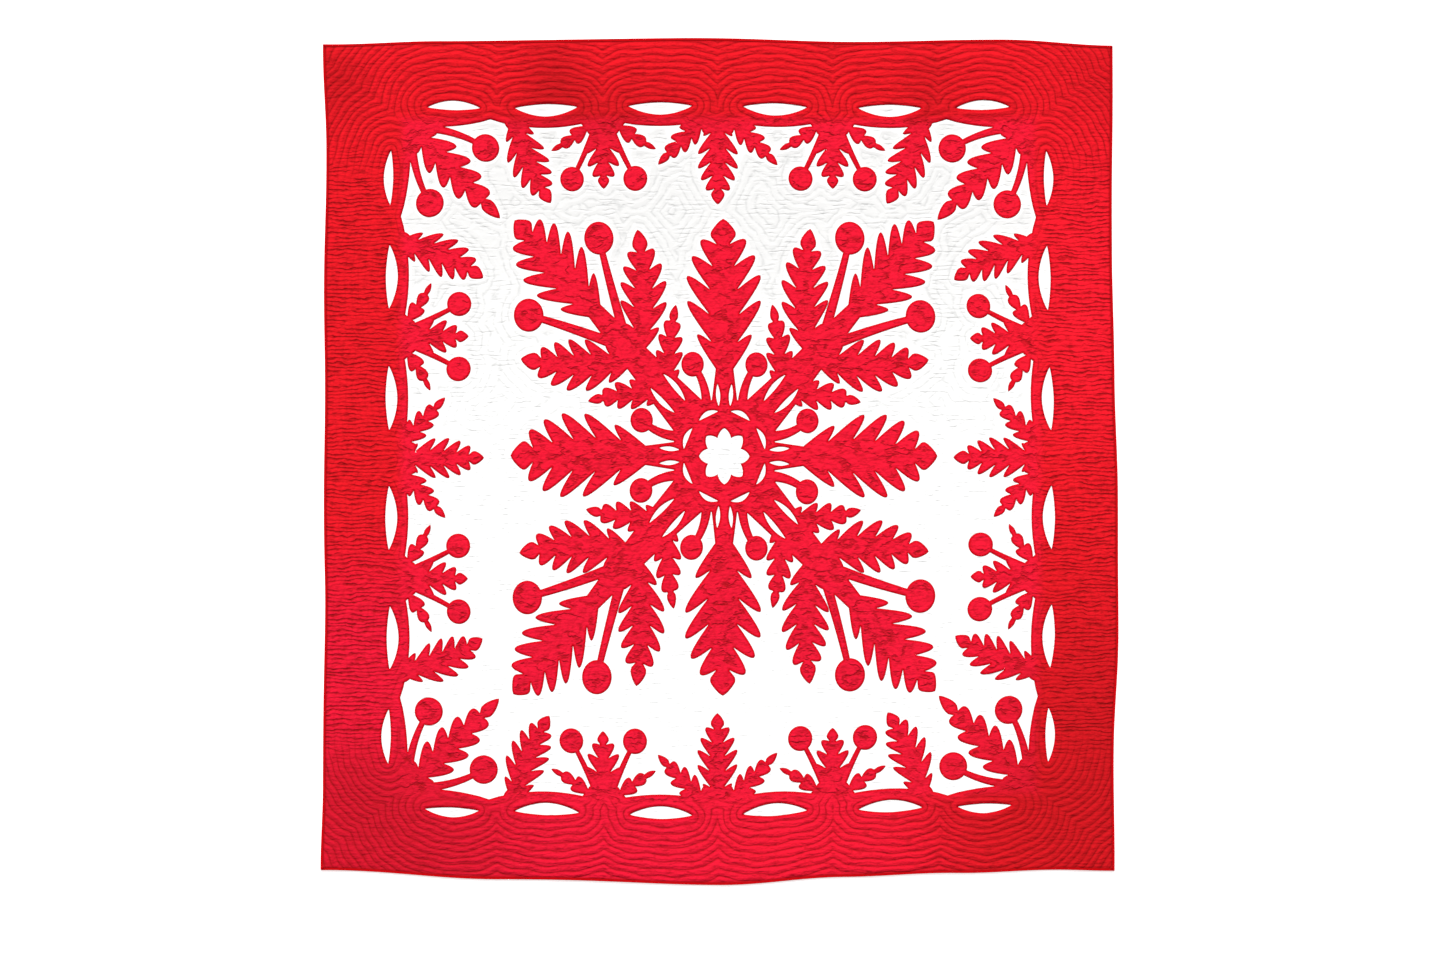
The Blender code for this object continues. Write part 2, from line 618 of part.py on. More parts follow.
def make_ground(layers):
    """The white wadded panel, thinner at its rim where the binding folds round it."""
    outer = rim(CLOTH_INSET, EDGE_STEPS)
    lines = []
    for run in white_puffs(layers):
        foot = np.vstack([run[:, 0], run[::-1, 2], run[:1, 0]])
        lines.append((list(foot), GROUND_TOP))
        lines.append((list(run[1:-1, 1]), PUFF_TOP))
    points, asked, triangles, cover = triangulate([outer], lines, [])
    kept = [triangle for triangle, last in zip(triangles, cover) if last == 0]
    top = np.where(np.isnan(asked), GROUND_TOP, asked)
    count = len(points)
    ring = [int(np.argmin(np.hypot(*(points - corner).T))) for corner in outer]
    steps = len(ring)
    levels = ((CLOTH_INSET, TONGUE_BOTTOM), (TONGUE_END, TONGUE_BOTTOM), (TONGUE_RAMP_END, 0.0))
    vertices = [np.column_stack([place(points), top])]
    for inset, height in levels:
        vertices.append(np.column_stack([place(rim(inset, EDGE_STEPS)), np.full(steps, height)]))
    faces = [tuple(triangle) for triangle in kept]
    rings = [ring] + [[count + level * steps + index for index in range(steps)] for level in range(3)]
    for upper, lower in zip(rings, rings[1:]):
        for index in range(steps):
            after = (index + 1) % steps
            faces.append((upper[after], upper[index], lower[index], lower[after]))
    inner = rim(TONGUE_RAMP_END, EDGE_STEPS)
    laid, _, below, _, _, _ = delaunay_2d_cdt([Vector(point) for point in inner], [],
                                              [list(range(steps))], 1, MERGE)
    same = [int(np.argmin(np.hypot(*(inner - np.array(point)).T))) for point in laid]
    faces += [tuple(rings[-1][same[index]] for index in reversed(triangle)) for triangle in below]
    return make_object("quilt_ground", np.vstack(vertices), faces, "white_cotton")


def binding_profile():
    """Section of the folded binding as (distance from the outside, height), and its end faces."""
    wide, wall = BINDING_WIDTH, BINDING_WALL
    section = [
        (wide, 0.0), (wide, FLAP_TOP), (wall, FLAP_TOP), (wall, BINDING_UNDER), (wide, BINDING_UNDER),
        (wide, BINDING_TOP), (wall, BINDING_TOP), (0.0, BINDING_TOP - wall), (0.0, wall), (wall, 0.0),
    ]
    ends = [(0, 1, 2, 9), (9, 2, 8), (8, 2, 3, 7), (7, 3, 6), (3, 4, 5, 6)]
    return np.array(section), ends


def make_binding(name, along_y, sign):
    """One edge of the binding: its section carried along the bowed edge and mitred at both ends."""
    section, ends = binding_profile()
    long_half, depth_half = (HALF_LENGTH, HALF_WIDTH) if along_y else (HALF_WIDTH, HALF_LENGTH)
    share = np.linspace(-1.0, 1.0, EDGE_STEPS + 1)
    vertices = []
    for step in share:
        run = step * (long_half - section[:, 0] - MITRE_GAP / math.sqrt(2.0))
        out = sign * (depth_half - section[:, 0])
        flat = np.column_stack([out, run] if along_y else [run, out])
        vertices.append(np.column_stack([place(flat), section[:, 1]]))
    turns = len(section)
    faces = []
    for step in range(EDGE_STEPS):
        for index in range(turns):
            after = (index + 1) % turns
            near, far = step * turns, (step + 1) * turns
            faces.append((near + index, near + after, far + after, far + index))
    last = EDGE_STEPS * turns
    faces += [tuple(reversed(end)) for end in ends] + [tuple(index + last for index in end) for end in ends]
    if along_y != (sign > 0):
        faces = [tuple(reversed(face)) for face in faces]
    return make_object(name, np.vstack(vertices), faces, "red_binding")


def build():
    """Clear the scene and make the seven pieces of the quilt."""
    for piece in list(bpy.data.objects):
        bpy.data.objects.remove(piece, do_unlink=True)
    border, border_spots = border_layers()
    medallion, medallion_spots = medallion_layers()
    make_ground(border + medallion)
    make_applique("border_applique", border, border_rows(), border_spots)
    make_applique("medallion_applique", medallion, [], medallion_spots)
    make_binding("binding_top", False, 1.0)
    make_binding("binding_bottom", False, -1.0)
    make_binding("binding_left", True, -1.0)
    make_binding("binding_right", True, 1.0)


build()
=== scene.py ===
"""Looks of the tivaevae quilt: red leaf border and medallion sewn on a white wadded cloth.

Every surface is worked out from the quilt's own sizes. Cloth points are given in the flat cloth's own
metres, and place() lays them where the uneven edges of the real quilt run.
"""

import math

import bpy
import numpy as np
from mathutils.geometry import delaunay_2d_cdt
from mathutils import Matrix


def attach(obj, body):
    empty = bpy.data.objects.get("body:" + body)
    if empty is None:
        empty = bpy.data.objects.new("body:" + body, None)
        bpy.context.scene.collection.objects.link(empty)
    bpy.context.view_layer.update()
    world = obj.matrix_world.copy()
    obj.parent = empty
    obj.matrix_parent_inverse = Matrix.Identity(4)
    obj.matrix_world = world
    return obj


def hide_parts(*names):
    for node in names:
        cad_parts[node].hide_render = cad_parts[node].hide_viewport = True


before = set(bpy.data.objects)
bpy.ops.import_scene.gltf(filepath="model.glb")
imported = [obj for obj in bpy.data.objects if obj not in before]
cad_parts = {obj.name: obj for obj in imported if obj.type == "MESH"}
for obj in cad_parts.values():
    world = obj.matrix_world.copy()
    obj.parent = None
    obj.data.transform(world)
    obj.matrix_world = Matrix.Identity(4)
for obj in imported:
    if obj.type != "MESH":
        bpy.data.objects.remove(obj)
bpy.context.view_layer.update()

# Cloth
HALF_WIDTH = 1.103
HALF_LENGTH = 1.150
HALF = np.array([HALF_WIDTH, HALF_LENGTH])
MILLIMETRE = 0.001

# Heights above the surface that the quilt lies on
FLAP_TOP = 0.0010
TONGUE_BOTTOM = 0.0013
GROUND_TOP = 0.0033
CUT_HEIGHT = 0.0035
APPLIQUE_TOP = 0.0046
BINDING_UNDER = 0.0049
BINDING_TOP = 0.0062

# Binding, measured inwards from the outside of the quilt
BINDING_WIDTH = 0.0070
BINDING_WALL = 0.0010
BINDING_ROUND = 0.0024
BINDING_ROUND_STEPS = 5
# columns: share of the width, fall below the top
BINDING_SLOPE = ((0.62, 0.0), (0.9, 0.0003), (1.0, 0.0007))
MITRE_GAP = 0.0003
CLOTH_INSET = 0.0013
OUTER_BAND = 2.0 * CLOTH_INSET
RING_DEPTH = 3.0 * CLOTH_INSET
TONGUE_END = 0.0080
TONGUE_RAMP_END = 0.0095
BINDING_STATIONS = 260

# How far each edge bows outwards, in millimetres, at a share of the way along it
# columns: share from -1 to 1, bow
TOP_BOW = ((-1.0, 0.0), (-0.7, 13.0), (-0.1, 17.0), (0.35, 9.0), (0.72, 10.0), (1.0, -3.0))
BOTTOM_BOW = ((-1.0, -2.0), (-0.55, 25.0), (0.0, 36.0), (0.32, 18.0), (0.6, 5.0), (0.85, -4.0),
              (1.0, 0.0))
LEFT_BOW = ((-1.0, 5.0), (-0.8, 0.0), (-0.36, -8.0), (-0.2, -6.0), (0.2, -8.0), (0.45, -6.0),
            (0.75, -11.0), (1.0, 0.0))
RIGHT_BOW = ((-1.0, 3.0), (-0.7, 0.0), (-0.42, 8.0), (-0.1, 7.0), (0.2, 3.0), (0.5, -4.0), (1.0, -8.0))
BOW_SAMPLES = 241

# Uneven drift of the whole cloth, in millimetres and radians per metre
# columns: drift across, drift along, turn per metre across, turn per metre along, phase
DRIFT = ((2.2, 1.6, 2.1, 3.7, 0.6), (1.3, 1.8, 6.3, 4.4, 2.1), (0.8, 0.9, 9.7, 12.1, 4.0))

# Soft swells of the lying cloth and the creases where it was folded, in millimetres and metres
# columns: rise, turn per metre across, turn per metre along, phase
SWELLS = ((1.1, 7.0, 2.2, 0.4), (0.8, 13.5, -3.1, 2.2), (0.6, 4.1, 9.3, 1.1), (0.4, 21.0, 5.7, 5.0))
# columns: place, rise, half width
CREASES_ACROSS = ((-0.542, 1.9, 0.012), (0.021, 1.6, 0.011), (0.578, 1.8, 0.012))
CREASES_ALONG = ((0.012, 1.3, 0.012), (-0.585, 1.1, 0.014), (0.600, 1.1, 0.014))
CALM_RIM = 0.060
CALM_SHARE = 0.25

# The four mirrored quarters
MIRRORS = ((1, 1), (-1, 1), (1, -1), (-1, -1))

# Motif outlines: points for each lobe, fruit and cut-out, and the lobe's form
LOBE_POINTS = 12
DISC_POINTS = 48
LENS_POINTS = 25
STRIP_POINTS = 12
FIELD_POINTS = 12
PETAL_POINTS = 12
EDGE_STEPS = 240
NOTCH_SHARE = 0.40
LOBE_POWER = 2.2
LOBED_SHARE = 0.82
SWELL_POWER = 0.62
SWELL_FULLNESS = 0.8
SWEEP = 0.95
TIP_WIDTH = 0.33
TIP_FULLNESS = 0.72
TIP_START = 0.26
TIP_POWER = 0.85
LENS_POWER = 1.8
LENS_FULLNESS = 0.9

# Medallion, in shares of its half width and half length
MEDALLION_HALF = np.array([0.595, 0.659])
MEDALLION_AT = np.array([0.015, 0.004])
HUB_RADIUS = 0.245
FLOWER_RADIUS = 0.118
PETALS = 8
PETAL_DEPTH = 0.30
PETAL_POWER = 1.3
MEDALLION_STALK = 0.014
# columns: base x, base y, bend x, bend y, tip x, tip y, half width, lobes on a side
MEDALLION_LEAVES = (
    (0.000, 0.330, 0.000, 0.660, 0.000, 0.995, 0.180, 5),
    (0.255, 0.280, 0.275, 0.450, 0.228, 0.640, 0.064, 4),
    (0.405, 0.430, 0.355, 0.680, 0.405, 0.955, 0.112, 5),
    (0.585, 0.585, 0.780, 0.780, 0.988, 0.988, 0.152, 5),
)
# columns: centre x, centre y, radius, stem foot x, stem foot y, stem bend x, stem bend y
MEDALLION_FRUITS = (
    (0.150, 0.388, 0.053, 0.085, 0.180, 0.075, 0.300),
    (0.590, 0.918, 0.070, 0.460, 0.480, 0.545, 0.735),
)
# columns: start x, start y, end x, end y, width at start, width at end
MEDALLION_TRUNKS = (
    (0.000, 0.120, 0.000, 0.460, 0.150, 0.060),
    (0.080, 0.080, 0.640, 0.640, 0.210, 0.070),
)
FRUIT_STEM = (0.050, 0.028)
# columns: centre x, centre y, half length, half width, turn in radians, camber
MEDALLION_SLITS = (
    (0.030, 0.258, 0.046, 0.0095, 1.50, 0.000),
    (0.235, 0.290, 0.075, 0.0115, 0.83, 0.006),
    (0.074, 0.170, 0.048, 0.0105, -0.42, 0.010),
)

# Border, in metres inwards from the edge and along it, and in bays between hubs
BAY_SHARE = 0.29
FIELD_BAYS = 2.62
FIELD_DEPTH = 0.214
FIELD_SCALLOP = 0.024
SCALLOP_POWER = 0.8
HUB_DEPTH = 0.215
HUB_KNOB = 0.032
KNOB_BAYS = (0.0, 1.0, 1.78)
BORDER_STALK = 0.007
# columns: hub in bays, then offset and depth of base, bend and tip, half width, lobes on a side
BORDER_LEAVES = (
    (0.00, 0.000, 0.205, 0.000, 0.325, 0.000, 0.452, 0.057, 5),
    (0.00, 0.024, 0.212, 0.086, 0.262, 0.166, 0.342, 0.034, 4),
    (1.00, 0.000, 0.205, 0.000, 0.300, 0.000, 0.405, 0.050, 4),
    (1.00, 0.018, 0.214, 0.072, 0.264, 0.148, 0.300, 0.024, 3),
    (1.00, -0.018, 0.214, -0.072, 0.264, -0.148, 0.300, 0.024, 3),
    (1.78, 0.000, 0.205, -0.020, 0.330, -0.098, 0.445, 0.058, 5),
)
# columns: hub in bays, foot offset, bend offset, bend depth, centre offset, centre depth, radius
BORDER_FRUITS = (
    (1.00, 0.012, 0.050, 0.310, 0.090, 0.378, 0.034),
    (1.00, -0.012, -0.050, 0.310, -0.090, 0.378, 0.034),
)
BORDER_STEM = (0.020, 0.012)
# columns: place in bays, half length, half width, camber
LENSES = ((0.5, 0.088, 0.0165, 0.007), (1.5, 0.088, 0.0165, 0.007), (2.32, 0.074, 0.0130, -0.006))
LENS_DEPTH = 0.183
COVERED_RIM = LENS_DEPTH / 2.0
# columns: depths from both edges of base, bend and tip, half width, lobes on a side
CORNER_LEAVES = ((0.235, 0.235, 0.350, 0.350, 0.490, 0.490, 0.056, 5),)
# columns: depths from both edges of stem foot, stem bend and centre, radius
CORNER_FRUITS = (
    (0.270, 0.240, 0.370, 0.246, 0.448, 0.294, 0.039),
    (0.240, 0.270, 0.246, 0.370, 0.294, 0.448, 0.039),
)
CORNER_KNOB = (0.225, 0.062)
CORNER_STEM = (0.026, 0.014)

# Cloth meshes
LONGEST_EDGE = 0.0065
TURNED_EDGE = 0.0018
EDGE_CLEAR = 0.0012
FILL_CLEAR = 0.0042
BORDER_SPACING = 0.0062
MEDALLION_SPACING = 0.0045
WHITE_SPACING = 0.0064
HIDDEN_SPACING = 0.030
BACK_SPACING = 0.026
RIM_CLEAR = 0.4
FIRM_TURN = 0.2
MERGE = 1e-5
SMALLEST_ISLAND = 1.2e-4
BANDS = 240

# Distance map
CELL = 0.0025
SEED_STEP = 0.0015
MAP_MARGIN = 0.02
FAR = 1e3

# Quilting rows
ROW_PITCH = 0.019
RED_PUFF = 0.0021
WHITE_PUFF = 0.0012
MOTIF_CALM = 0.75
MOTIF_START = 0.195
MOTIF_FULL = 0.235
SIDE_CALM = 0.80
SIDE_FROM = (0.250, 0.170)
SIDE_TO = (0.880, 0.760)
TOP_PUCKER = 0.28
MOTIF_PUCKER = 0.14
PUFF_ROUND = 0.65
# columns: wander in rows, turn per metre across, turn per metre along, phase
ROW_WANDER = ((0.10, 31.0, 17.0, 0.3), (0.08, -14.0, 43.0, 1.9), (0.05, 71.0, 58.0, 3.3),
              (0.16, 5.0, 7.0, 0.9), (0.09, -67.0, 74.0, 5.0))
WANDER_FULL = 1.5
RIDGE_ROW = 0.5
NO_CUT = 0.5
RIM_FLAT = 0.0080
RIM_FULL = 0.0170
BACK_HALF = (0.55, 0.60)
BACK_ROUND = 0.30
RED_ATTRIBUTES = ("row", "cut", "rim", "strength", "level", "motif")

# Colours
# The border red is darker than the leaf red as painted shade of the dense quilting rows; the leaf red is
# also pinker
BORDER_RED = (0.735, 0.0080, 0.0160, 1.0)
LEAF_RED = (0.810, 0.0085, 0.0330, 1.0)
PINK_RED = (0.750, 0.0080, 0.0340, 1.0)
# Painted light for the broad soft ovals
PAINTED_LIGHT_RED = (0.880, 0.0100, 0.0260, 1.0)
SHADE_RED = (0.290, 0.0042, 0.0050, 1.0)
# Painted shade: a darker red on turned edges, and a thin shadow line at cut edges and on the binding
EDGE_SHADE_RED = (0.560, 0.0012, 0.0070, 1.0)
LINE_SHADE_RED = (0.230, 0.0010, 0.0030, 1.0)
BINDING_RED = (0.520, 0.0005, 0.0030, 1.0)
BRIGHT_WHITE = (0.930, 0.930, 0.925, 1.0)
# Painted shade towards the top edge, with a faint cream tint
TOP_SHADE_WHITE = (0.765, 0.760, 0.752, 1.0)
SHADE_WHITE = (0.620, 0.620, 0.615, 1.0)
FLOOR_WHITE = (0.950, 0.950, 0.950, 1.0)
LIGHT_WHITE = (1.0, 1.0, 1.0, 1.0)

# Broad painted light and painted shade on the red cloth, as ovals
# columns: place across, place along, half width, half length, share
SOFT_LIGHTS = (
    (1.00, 0.44, 0.44, 0.68, 0.95),
    (0.25, -1.06, 0.50, 0.26, 0.36),
)
SOFT_SHADES = (
    (-0.46, 1.04, 0.15, 0.26, 0.40),
    (0.58, 1.02, 0.13, 0.22, 0.26),
    (-0.28, 0.96, 0.48, 0.18, 0.26),
    (-1.07, 1.06, 0.16, 0.20, 0.38),
    (1.07, 1.08, 0.20, 0.24, 0.18),
    (-1.03, -0.90, 0.26, 0.24, 0.32),
    (-0.82, -0.98, 0.40, 0.30, 0.18),
    (-0.95, -1.12, 0.62, 0.34, 0.34),
    (0.74, -1.00, 0.36, 0.28, 0.24),
    (1.05, -0.92, 0.50, 0.86, 0.48),
)

# Patterns in the cotton, by place on the quilt in metres
# columns: stretch, scale, and detail and roughness where they aren't the usual ones
MOTTLE = ((0.8, 1.2, 1.0), 62.0, 2.0, 0.6)
PATCHES = ((1.0, 1.6, 1.0), 24.0)
RED_FINE = ((1.0, 1.4, 1.0), 120.0, 2.0, 0.6)
WHITE_FINE = ((1.0, 1.6, 1.0), 60.0)
BINDING_PUCKERS = ((1.0, 1.0, 1.0), 85.0)
WEAVE = ((1.0, 1.0, 1.0), 900.0, 1.0)
# columns: stretch, scale, distortion, scale of the detail
RED_PUCKERS = ((0.52, 1.0, 1.0), 26.0, 10.0, 0.7)
WHITE_PUCKERS = ((0.36, 1.0, 1.0), 24.0, 6.0, 1.2)
PUCKER_DETAIL = 3.0
PUCKER_ROUGHNESS = 0.68
# columns: stretch, scale, width
WRINKLES = ((0.52, 1.0, 1.0), 33.0, 0.070)
WRINKLE_DETAIL = 3.0
WRINKLE_ROUGHNESS = 0.55

# Eased ranges of the patterns: low, high, then the values at both where they aren't 0 and 1
RED_VALLEY = (0.0, 0.46, 1.0, 0.0)
VALLEY_BREAKS = (0.34, 0.60, 0.40, 1.0)
MOTIF_PATCHES = (0.36, 0.56)
PUCKER_PATCHES = (0.64, 0.40, 0.35, 1.0)
PUCKER_LINE = (0.30, 0.95)
INSIDE_EDGE = (0.004, 0.012)
PINK_ALONG = (-0.10, -0.50)
PINK_ACROSS = (0.85, 0.30)
FINE_DARK = (0.50, 0.25)
MOTTLE_DARK = (0.52, 0.28)
# Painted shade bands: over turned edges, a shadow line at cut edges, and inside the binding
EDGE_SHADE_BAND = (0.0035, 0.0080, 0.85, 0.0)
LINE_SHADE_BAND = (0.0004, 0.0024, 0.70, 0.0)
RIM_SHADE_BAND = (0.0085, 0.0120, 0.45, 0.0)
WHITE_VALLEY = (0.0, 0.50, 1.0, 0.0)
WHITE_BREAKS = (0.36, 0.60)
WHITE_LINE = (0.5, 1.0)
WHITE_PATCHES = (0.46, 0.66)
WHITE_CLEAR = (0.003, 0.009)
# Painted shade grows towards the top edge
TOP_SHADE_ALONG = (-0.25, 0.75)
VALLEY_ALONG = (-0.6, 0.8, 0.14, 0.80)
LINE_ALONG = (-0.4, 0.8, 0.03, 0.26)
BINDING_DARK = (0.55, 0.30)
# Painted shadow line at the binding's inner edge
BINDING_SHADOW_LINE = (0.0058, 0.0070, 0.0, 0.5)

# Share of the painted shade that each pattern brings
# columns: valleys, short lines, fine lumps, mottle, long lines
RED_SHADES = (0.68, 0.58, 0.20, 0.34, 0.52)
BINDING_SHADE = 0.25

# Heights in metres of the ridges, and that each pattern adds to them
RIDGE_POWER = 0.6
RED_RIDGE = 0.0019
WHITE_RIDGE = 0.0007
BINDING_DOME = 0.0012
# columns: short lines, long lines, patches, mottle, grain, weave
RED_RELIEF = (-0.0022, -0.0022, 0.0034, 0.0026, 0.0010, 0.0001)
# columns: lines, patches, weave
WHITE_RELIEF = (-0.0009, 0.0012, 0.0001)
# columns: puckers, weave
BINDING_RELIEF = (0.0008, 0.0001)

# Surfaces
CLOTH_ROUGHNESS = 0.9
BINDING_ROUGHNESS = 0.8
SPECULAR = 0.06
FLOOR_GLOW = 0.45

# Camera
PIXEL = 0.002785
PHOTO_WIDTH = 1445
CAMERA_LENS = 85.0
CAMERA_SENSOR = 36.0
CAMERA_AT = (0.0084, -0.0557)

# Light
SUN_STRENGTH = 3.8
SUN_ELEVATION = 40.0
SUN_AZIMUTH = 10.0
SUN_SOFTNESS = 14.0
SKY_STRENGTH = 0.50
FLOOR_HALF = 40.0


def bow_at(table, share):
    """Bow in metres: each station of the table eases into the next along a half cosine."""
    stations, bows = np.array(table).T
    station = np.interp(share, stations, np.arange(len(stations)))
    whole = np.minimum(station.astype(int), len(stations) - 2)
    ease = 0.5 - 0.5 * np.cos(math.pi * (station - whole))
    return (bows[whole] + (bows[whole + 1] - bows[whole]) * ease) * MILLIMETRE


def drift(points):
    """Cloth points moved by the bow of the nearest edges and by the slow drift of the cloth."""
    moved = np.array(points, float)
    across, along = np.clip(moved / HALF, -1.0, 1.0).T
    right, left = np.maximum(across, 0.0) ** 2, np.maximum(-across, 0.0) ** 2
    top, bottom = np.maximum(along, 0.0) ** 2, np.maximum(-along, 0.0) ** 2
    shift_x = bow_at(RIGHT_BOW, along) * right - bow_at(LEFT_BOW, along) * left
    shift_y = bow_at(TOP_BOW, across) * top - bow_at(BOTTOM_BOW, across) * bottom
    for drift_x, drift_y, turn_x, turn_y, phase in DRIFT:
        wave = moved[:, 0] * turn_x + moved[:, 1] * turn_y + phase
        shift_x = shift_x + drift_x * MILLIMETRE * np.sin(wave)
        shift_y = shift_y + drift_y * MILLIMETRE * np.cos(wave)
    return moved + np.column_stack([shift_x, shift_y])


def rim_centre():
    """Middle of the box round the bowed outline of the quilt."""
    share = np.linspace(-1.0, 1.0, BOW_SAMPLES)
    one = np.ones_like(share)
    sides = [(share, one), (share, -one), (one, share), (-one, share)]
    edge = drift(np.vstack([np.column_stack(side) for side in sides]) * HALF)
    return (edge.max(axis=0) + edge.min(axis=0)) / 2.0


CENTRE = rim_centre()


def place(points):
    """Cloth points as they lie on the surface, with the quilt's box centred."""
    return drift(points) - CENTRE


def rim_depth(points):
    """Distance inwards from the nearest edge of the cloth."""
    return np.maximum((HALF - np.abs(points)).min(axis=1), 0.0)


def smooth(value):
    """Ease from 0 to 1 along three v squared less two v cubed."""
    value = np.clip(value, 0.0, 1.0)
    return value * value * (3.0 - 2.0 * value)


def lift(points):
    """Rise of the lying cloth: slow sines and a bell across each fold crease, calm at the rim."""
    rise = np.zeros(len(points))
    whole = 0.0
    for height, turn_x, turn_y, phase in SWELLS:
        rise += height * np.sin(points[:, 0] * turn_x + points[:, 1] * turn_y + phase)
        whole += height
    rise += whole
    for axis, creases in ((0, CREASES_ACROSS), (1, CREASES_ALONG)):
        for at, height, half in creases:
            rise += height / (1.0 + ((points[:, axis] - at) / half) ** 2)
    return rise * MILLIMETRE * (CALM_SHARE + (1.0 - CALM_SHARE) * smooth(rim_depth(points) / CALM_RIM))


def curve(start, bend, end, share):
    """Points and unit ways at shares of a quadratic curve."""
    start, bend, end = np.array(start), np.array(bend), np.array(end)
    share = share[:, None]
    path = (1.0 - share) ** 2 * start + 2.0 * share * (1.0 - share) * bend + share ** 2 * end
    way = (1.0 - share) * (bend - start) + share * (end - bend)
    return path, way / np.hypot(way[:, :1], way[:, 1:])


def leaf(base, bend, tip, half_width, lobes, stalk):
    """Outline of a lobed leaf: humps on a swelling half width, swept forwards, and a pointed tip."""
    step = np.linspace(0.0, lobes, lobes * LOBE_POINTS + 1)
    hump = 1.0 - np.abs(2.0 * (step % 1.0) - 1.0) ** LOBE_POWER
    share = LOBED_SHARE * step / lobes
    swell = np.sin(math.pi * share ** SWELL_POWER) ** SWELL_FULLNESS
    wide = np.maximum(half_width * swell * (NOTCH_SHARE + (1.0 - NOTCH_SHARE) * hump), stalk)
    forward = share + SWEEP * (wide - stalk) / math.dist(base, tip)
    end = np.linspace(0.0, 1.0, LOBE_POINTS + 1)[1:]
    neck = forward[-1]
    swell = np.sin(math.pi * (TIP_START + (1.0 - TIP_START) * end) ** TIP_POWER) ** TIP_FULLNESS
    tip_wide = half_width * TIP_WIDTH * swell
    shear = SWEEP * (tip_wide - wide[-1]) * (1.0 - end) ** 2 / math.dist(base, tip)
    wide = np.append(wide, tip_wide)
    forward = np.append(forward, neck + (1.0 - neck) * end + shear)
    path, way = curve(base, bend, tip, forward)
    side = np.column_stack([way[:, 1], -way[:, 0]]) * wide[:, None]
    return np.vstack([path + side, (path - side)[-2::-1]])


def disc(centre, radius):
    """Outline of a round fruit or knob."""
    turn = np.linspace(0.0, 2.0 * math.pi, DISC_POINTS, endpoint=False)
    return np.array(centre) + radius * np.column_stack([np.cos(turn), np.sin(turn)])


def strip(start, bend, end, start_width, end_width):
    """Outline of a stem or trunk: a quadratic curve with a width that changes evenly along it."""
    share = np.linspace(0.0, 1.0, STRIP_POINTS)
    path, way = curve(start, bend, end, share)
    half = (start_width + (end_width - start_width) * share) / 2.0
    side = np.column_stack([way[:, 1], -way[:, 0]]) * half[:, None]
    return np.vstack([path + side, (path - side)[::-1]])


def lens(centre, half_length, half_width, turn, camber):
    """Outline of a pointed oval that is bowed by its camber and turned."""
    share = np.linspace(-1.0, 1.0, LENS_POINTS)
    rise = half_width * (1.0 - np.abs(share) ** LENS_POWER) ** LENS_FULLNESS
    bow = camber * (1.0 - share ** 2)
    upper = np.column_stack([half_length * share, bow + rise])
    lower = np.column_stack([half_length * share, bow - rise])[-2:0:-1]
    cosine, sine = math.cos(turn), math.sin(turn)
    return np.array(centre) + np.vstack([upper, lower]) @ np.array([[cosine, sine], [-sine, cosine]])


def flower(radius):
    """Outline of the middle flower: a circle whose radius falls on both sides of each petal's tip."""
    turn = np.linspace(0.0, 2.0 * math.pi, PETAL_POINTS * PETALS, endpoint=False)
    aside = np.abs(2.0 * ((turn * PETALS / (2.0 * math.pi) + 0.5) % 1.0) - 1.0)
    reach = radius * (1.0 - PETAL_DEPTH * aside ** PETAL_POWER)
    return np.column_stack([reach * np.cos(turn), reach * np.sin(turn)])


def eightfold(shape):
    """The eight mirrored turns of a shape about the middle of the medallion."""
    turns = []
    for points in (shape, shape[:, ::-1]):
        for side in MIRRORS:
            turns.append(MEDALLION_AT + points * side * MEDALLION_HALF)
    return turns


def medallion_layers():
    """Layers of the medallion as (outline, is red)."""
    reds = []
    for *spine, half_width, lobes in MEDALLION_LEAVES:
        reds.append(leaf(spine[:2], spine[2:4], spine[4:], half_width, lobes, MEDALLION_STALK))
    for x, y, radius, foot_x, foot_y, bend_x, bend_y in MEDALLION_FRUITS:
        reds.append(disc((x, y), radius))
        reds.append(strip((foot_x, foot_y), (bend_x, bend_y), (x, y), *FRUIT_STEM))
    for start_x, start_y, end_x, end_y, start_width, end_width in MEDALLION_TRUNKS:
        start, end = np.array((start_x, start_y)), np.array((end_x, end_y))
        reds.append(strip(start, (start + end) / 2.0, end, start_width, end_width))
    layers = [(ring, True) for shape in reds for ring in eightfold(shape)]
    layers.append((MEDALLION_AT + disc((0.0, 0.0), HUB_RADIUS) * MEDALLION_HALF, True))
    for x, y, half_length, half_width, turn, camber in MEDALLION_SLITS:
        slit = lens((x, y), half_length, half_width, turn, camber)
        layers += [(ring, False) for ring in eightfold(slit)]
    layers.append((MEDALLION_AT + flower(FLOWER_RADIUS) * MEDALLION_HALF, False))
    return layers


def side_frames():
    """The two kinds of side: length half, depth half, and whether the side runs along Y."""
    return ((HALF_WIDTH, HALF_LENGTH, False), (HALF_LENGTH, HALF_WIDTH, True))


def on_side(points, depth_half, upright):
    """Points given along and inwards from an edge, on both of the sides of that kind, mirrored."""
    laid = np.column_stack([points[:, 0], depth_half - points[:, 1]])
    if upright:
        laid = laid[:, ::-1]
    return [laid * side for side in MIRRORS]


def on_corners(points):
    """Points given inwards from two edges, at the four corners."""
    return [(HALF - points) * side for side in MIRRORS]


def rim(inset, steps):
    """Outline of the cloth at an inset, with steps on each edge, anticlockwise."""
    share = np.linspace(-1.0, 1.0, steps, endpoint=False)
    one = np.ones_like(share)
    sides = [(share, -one), (one, share), (-share, one), (-one, -share)]
    return np.vstack([np.column_stack(side) for side in sides]) * (HALF - inset)


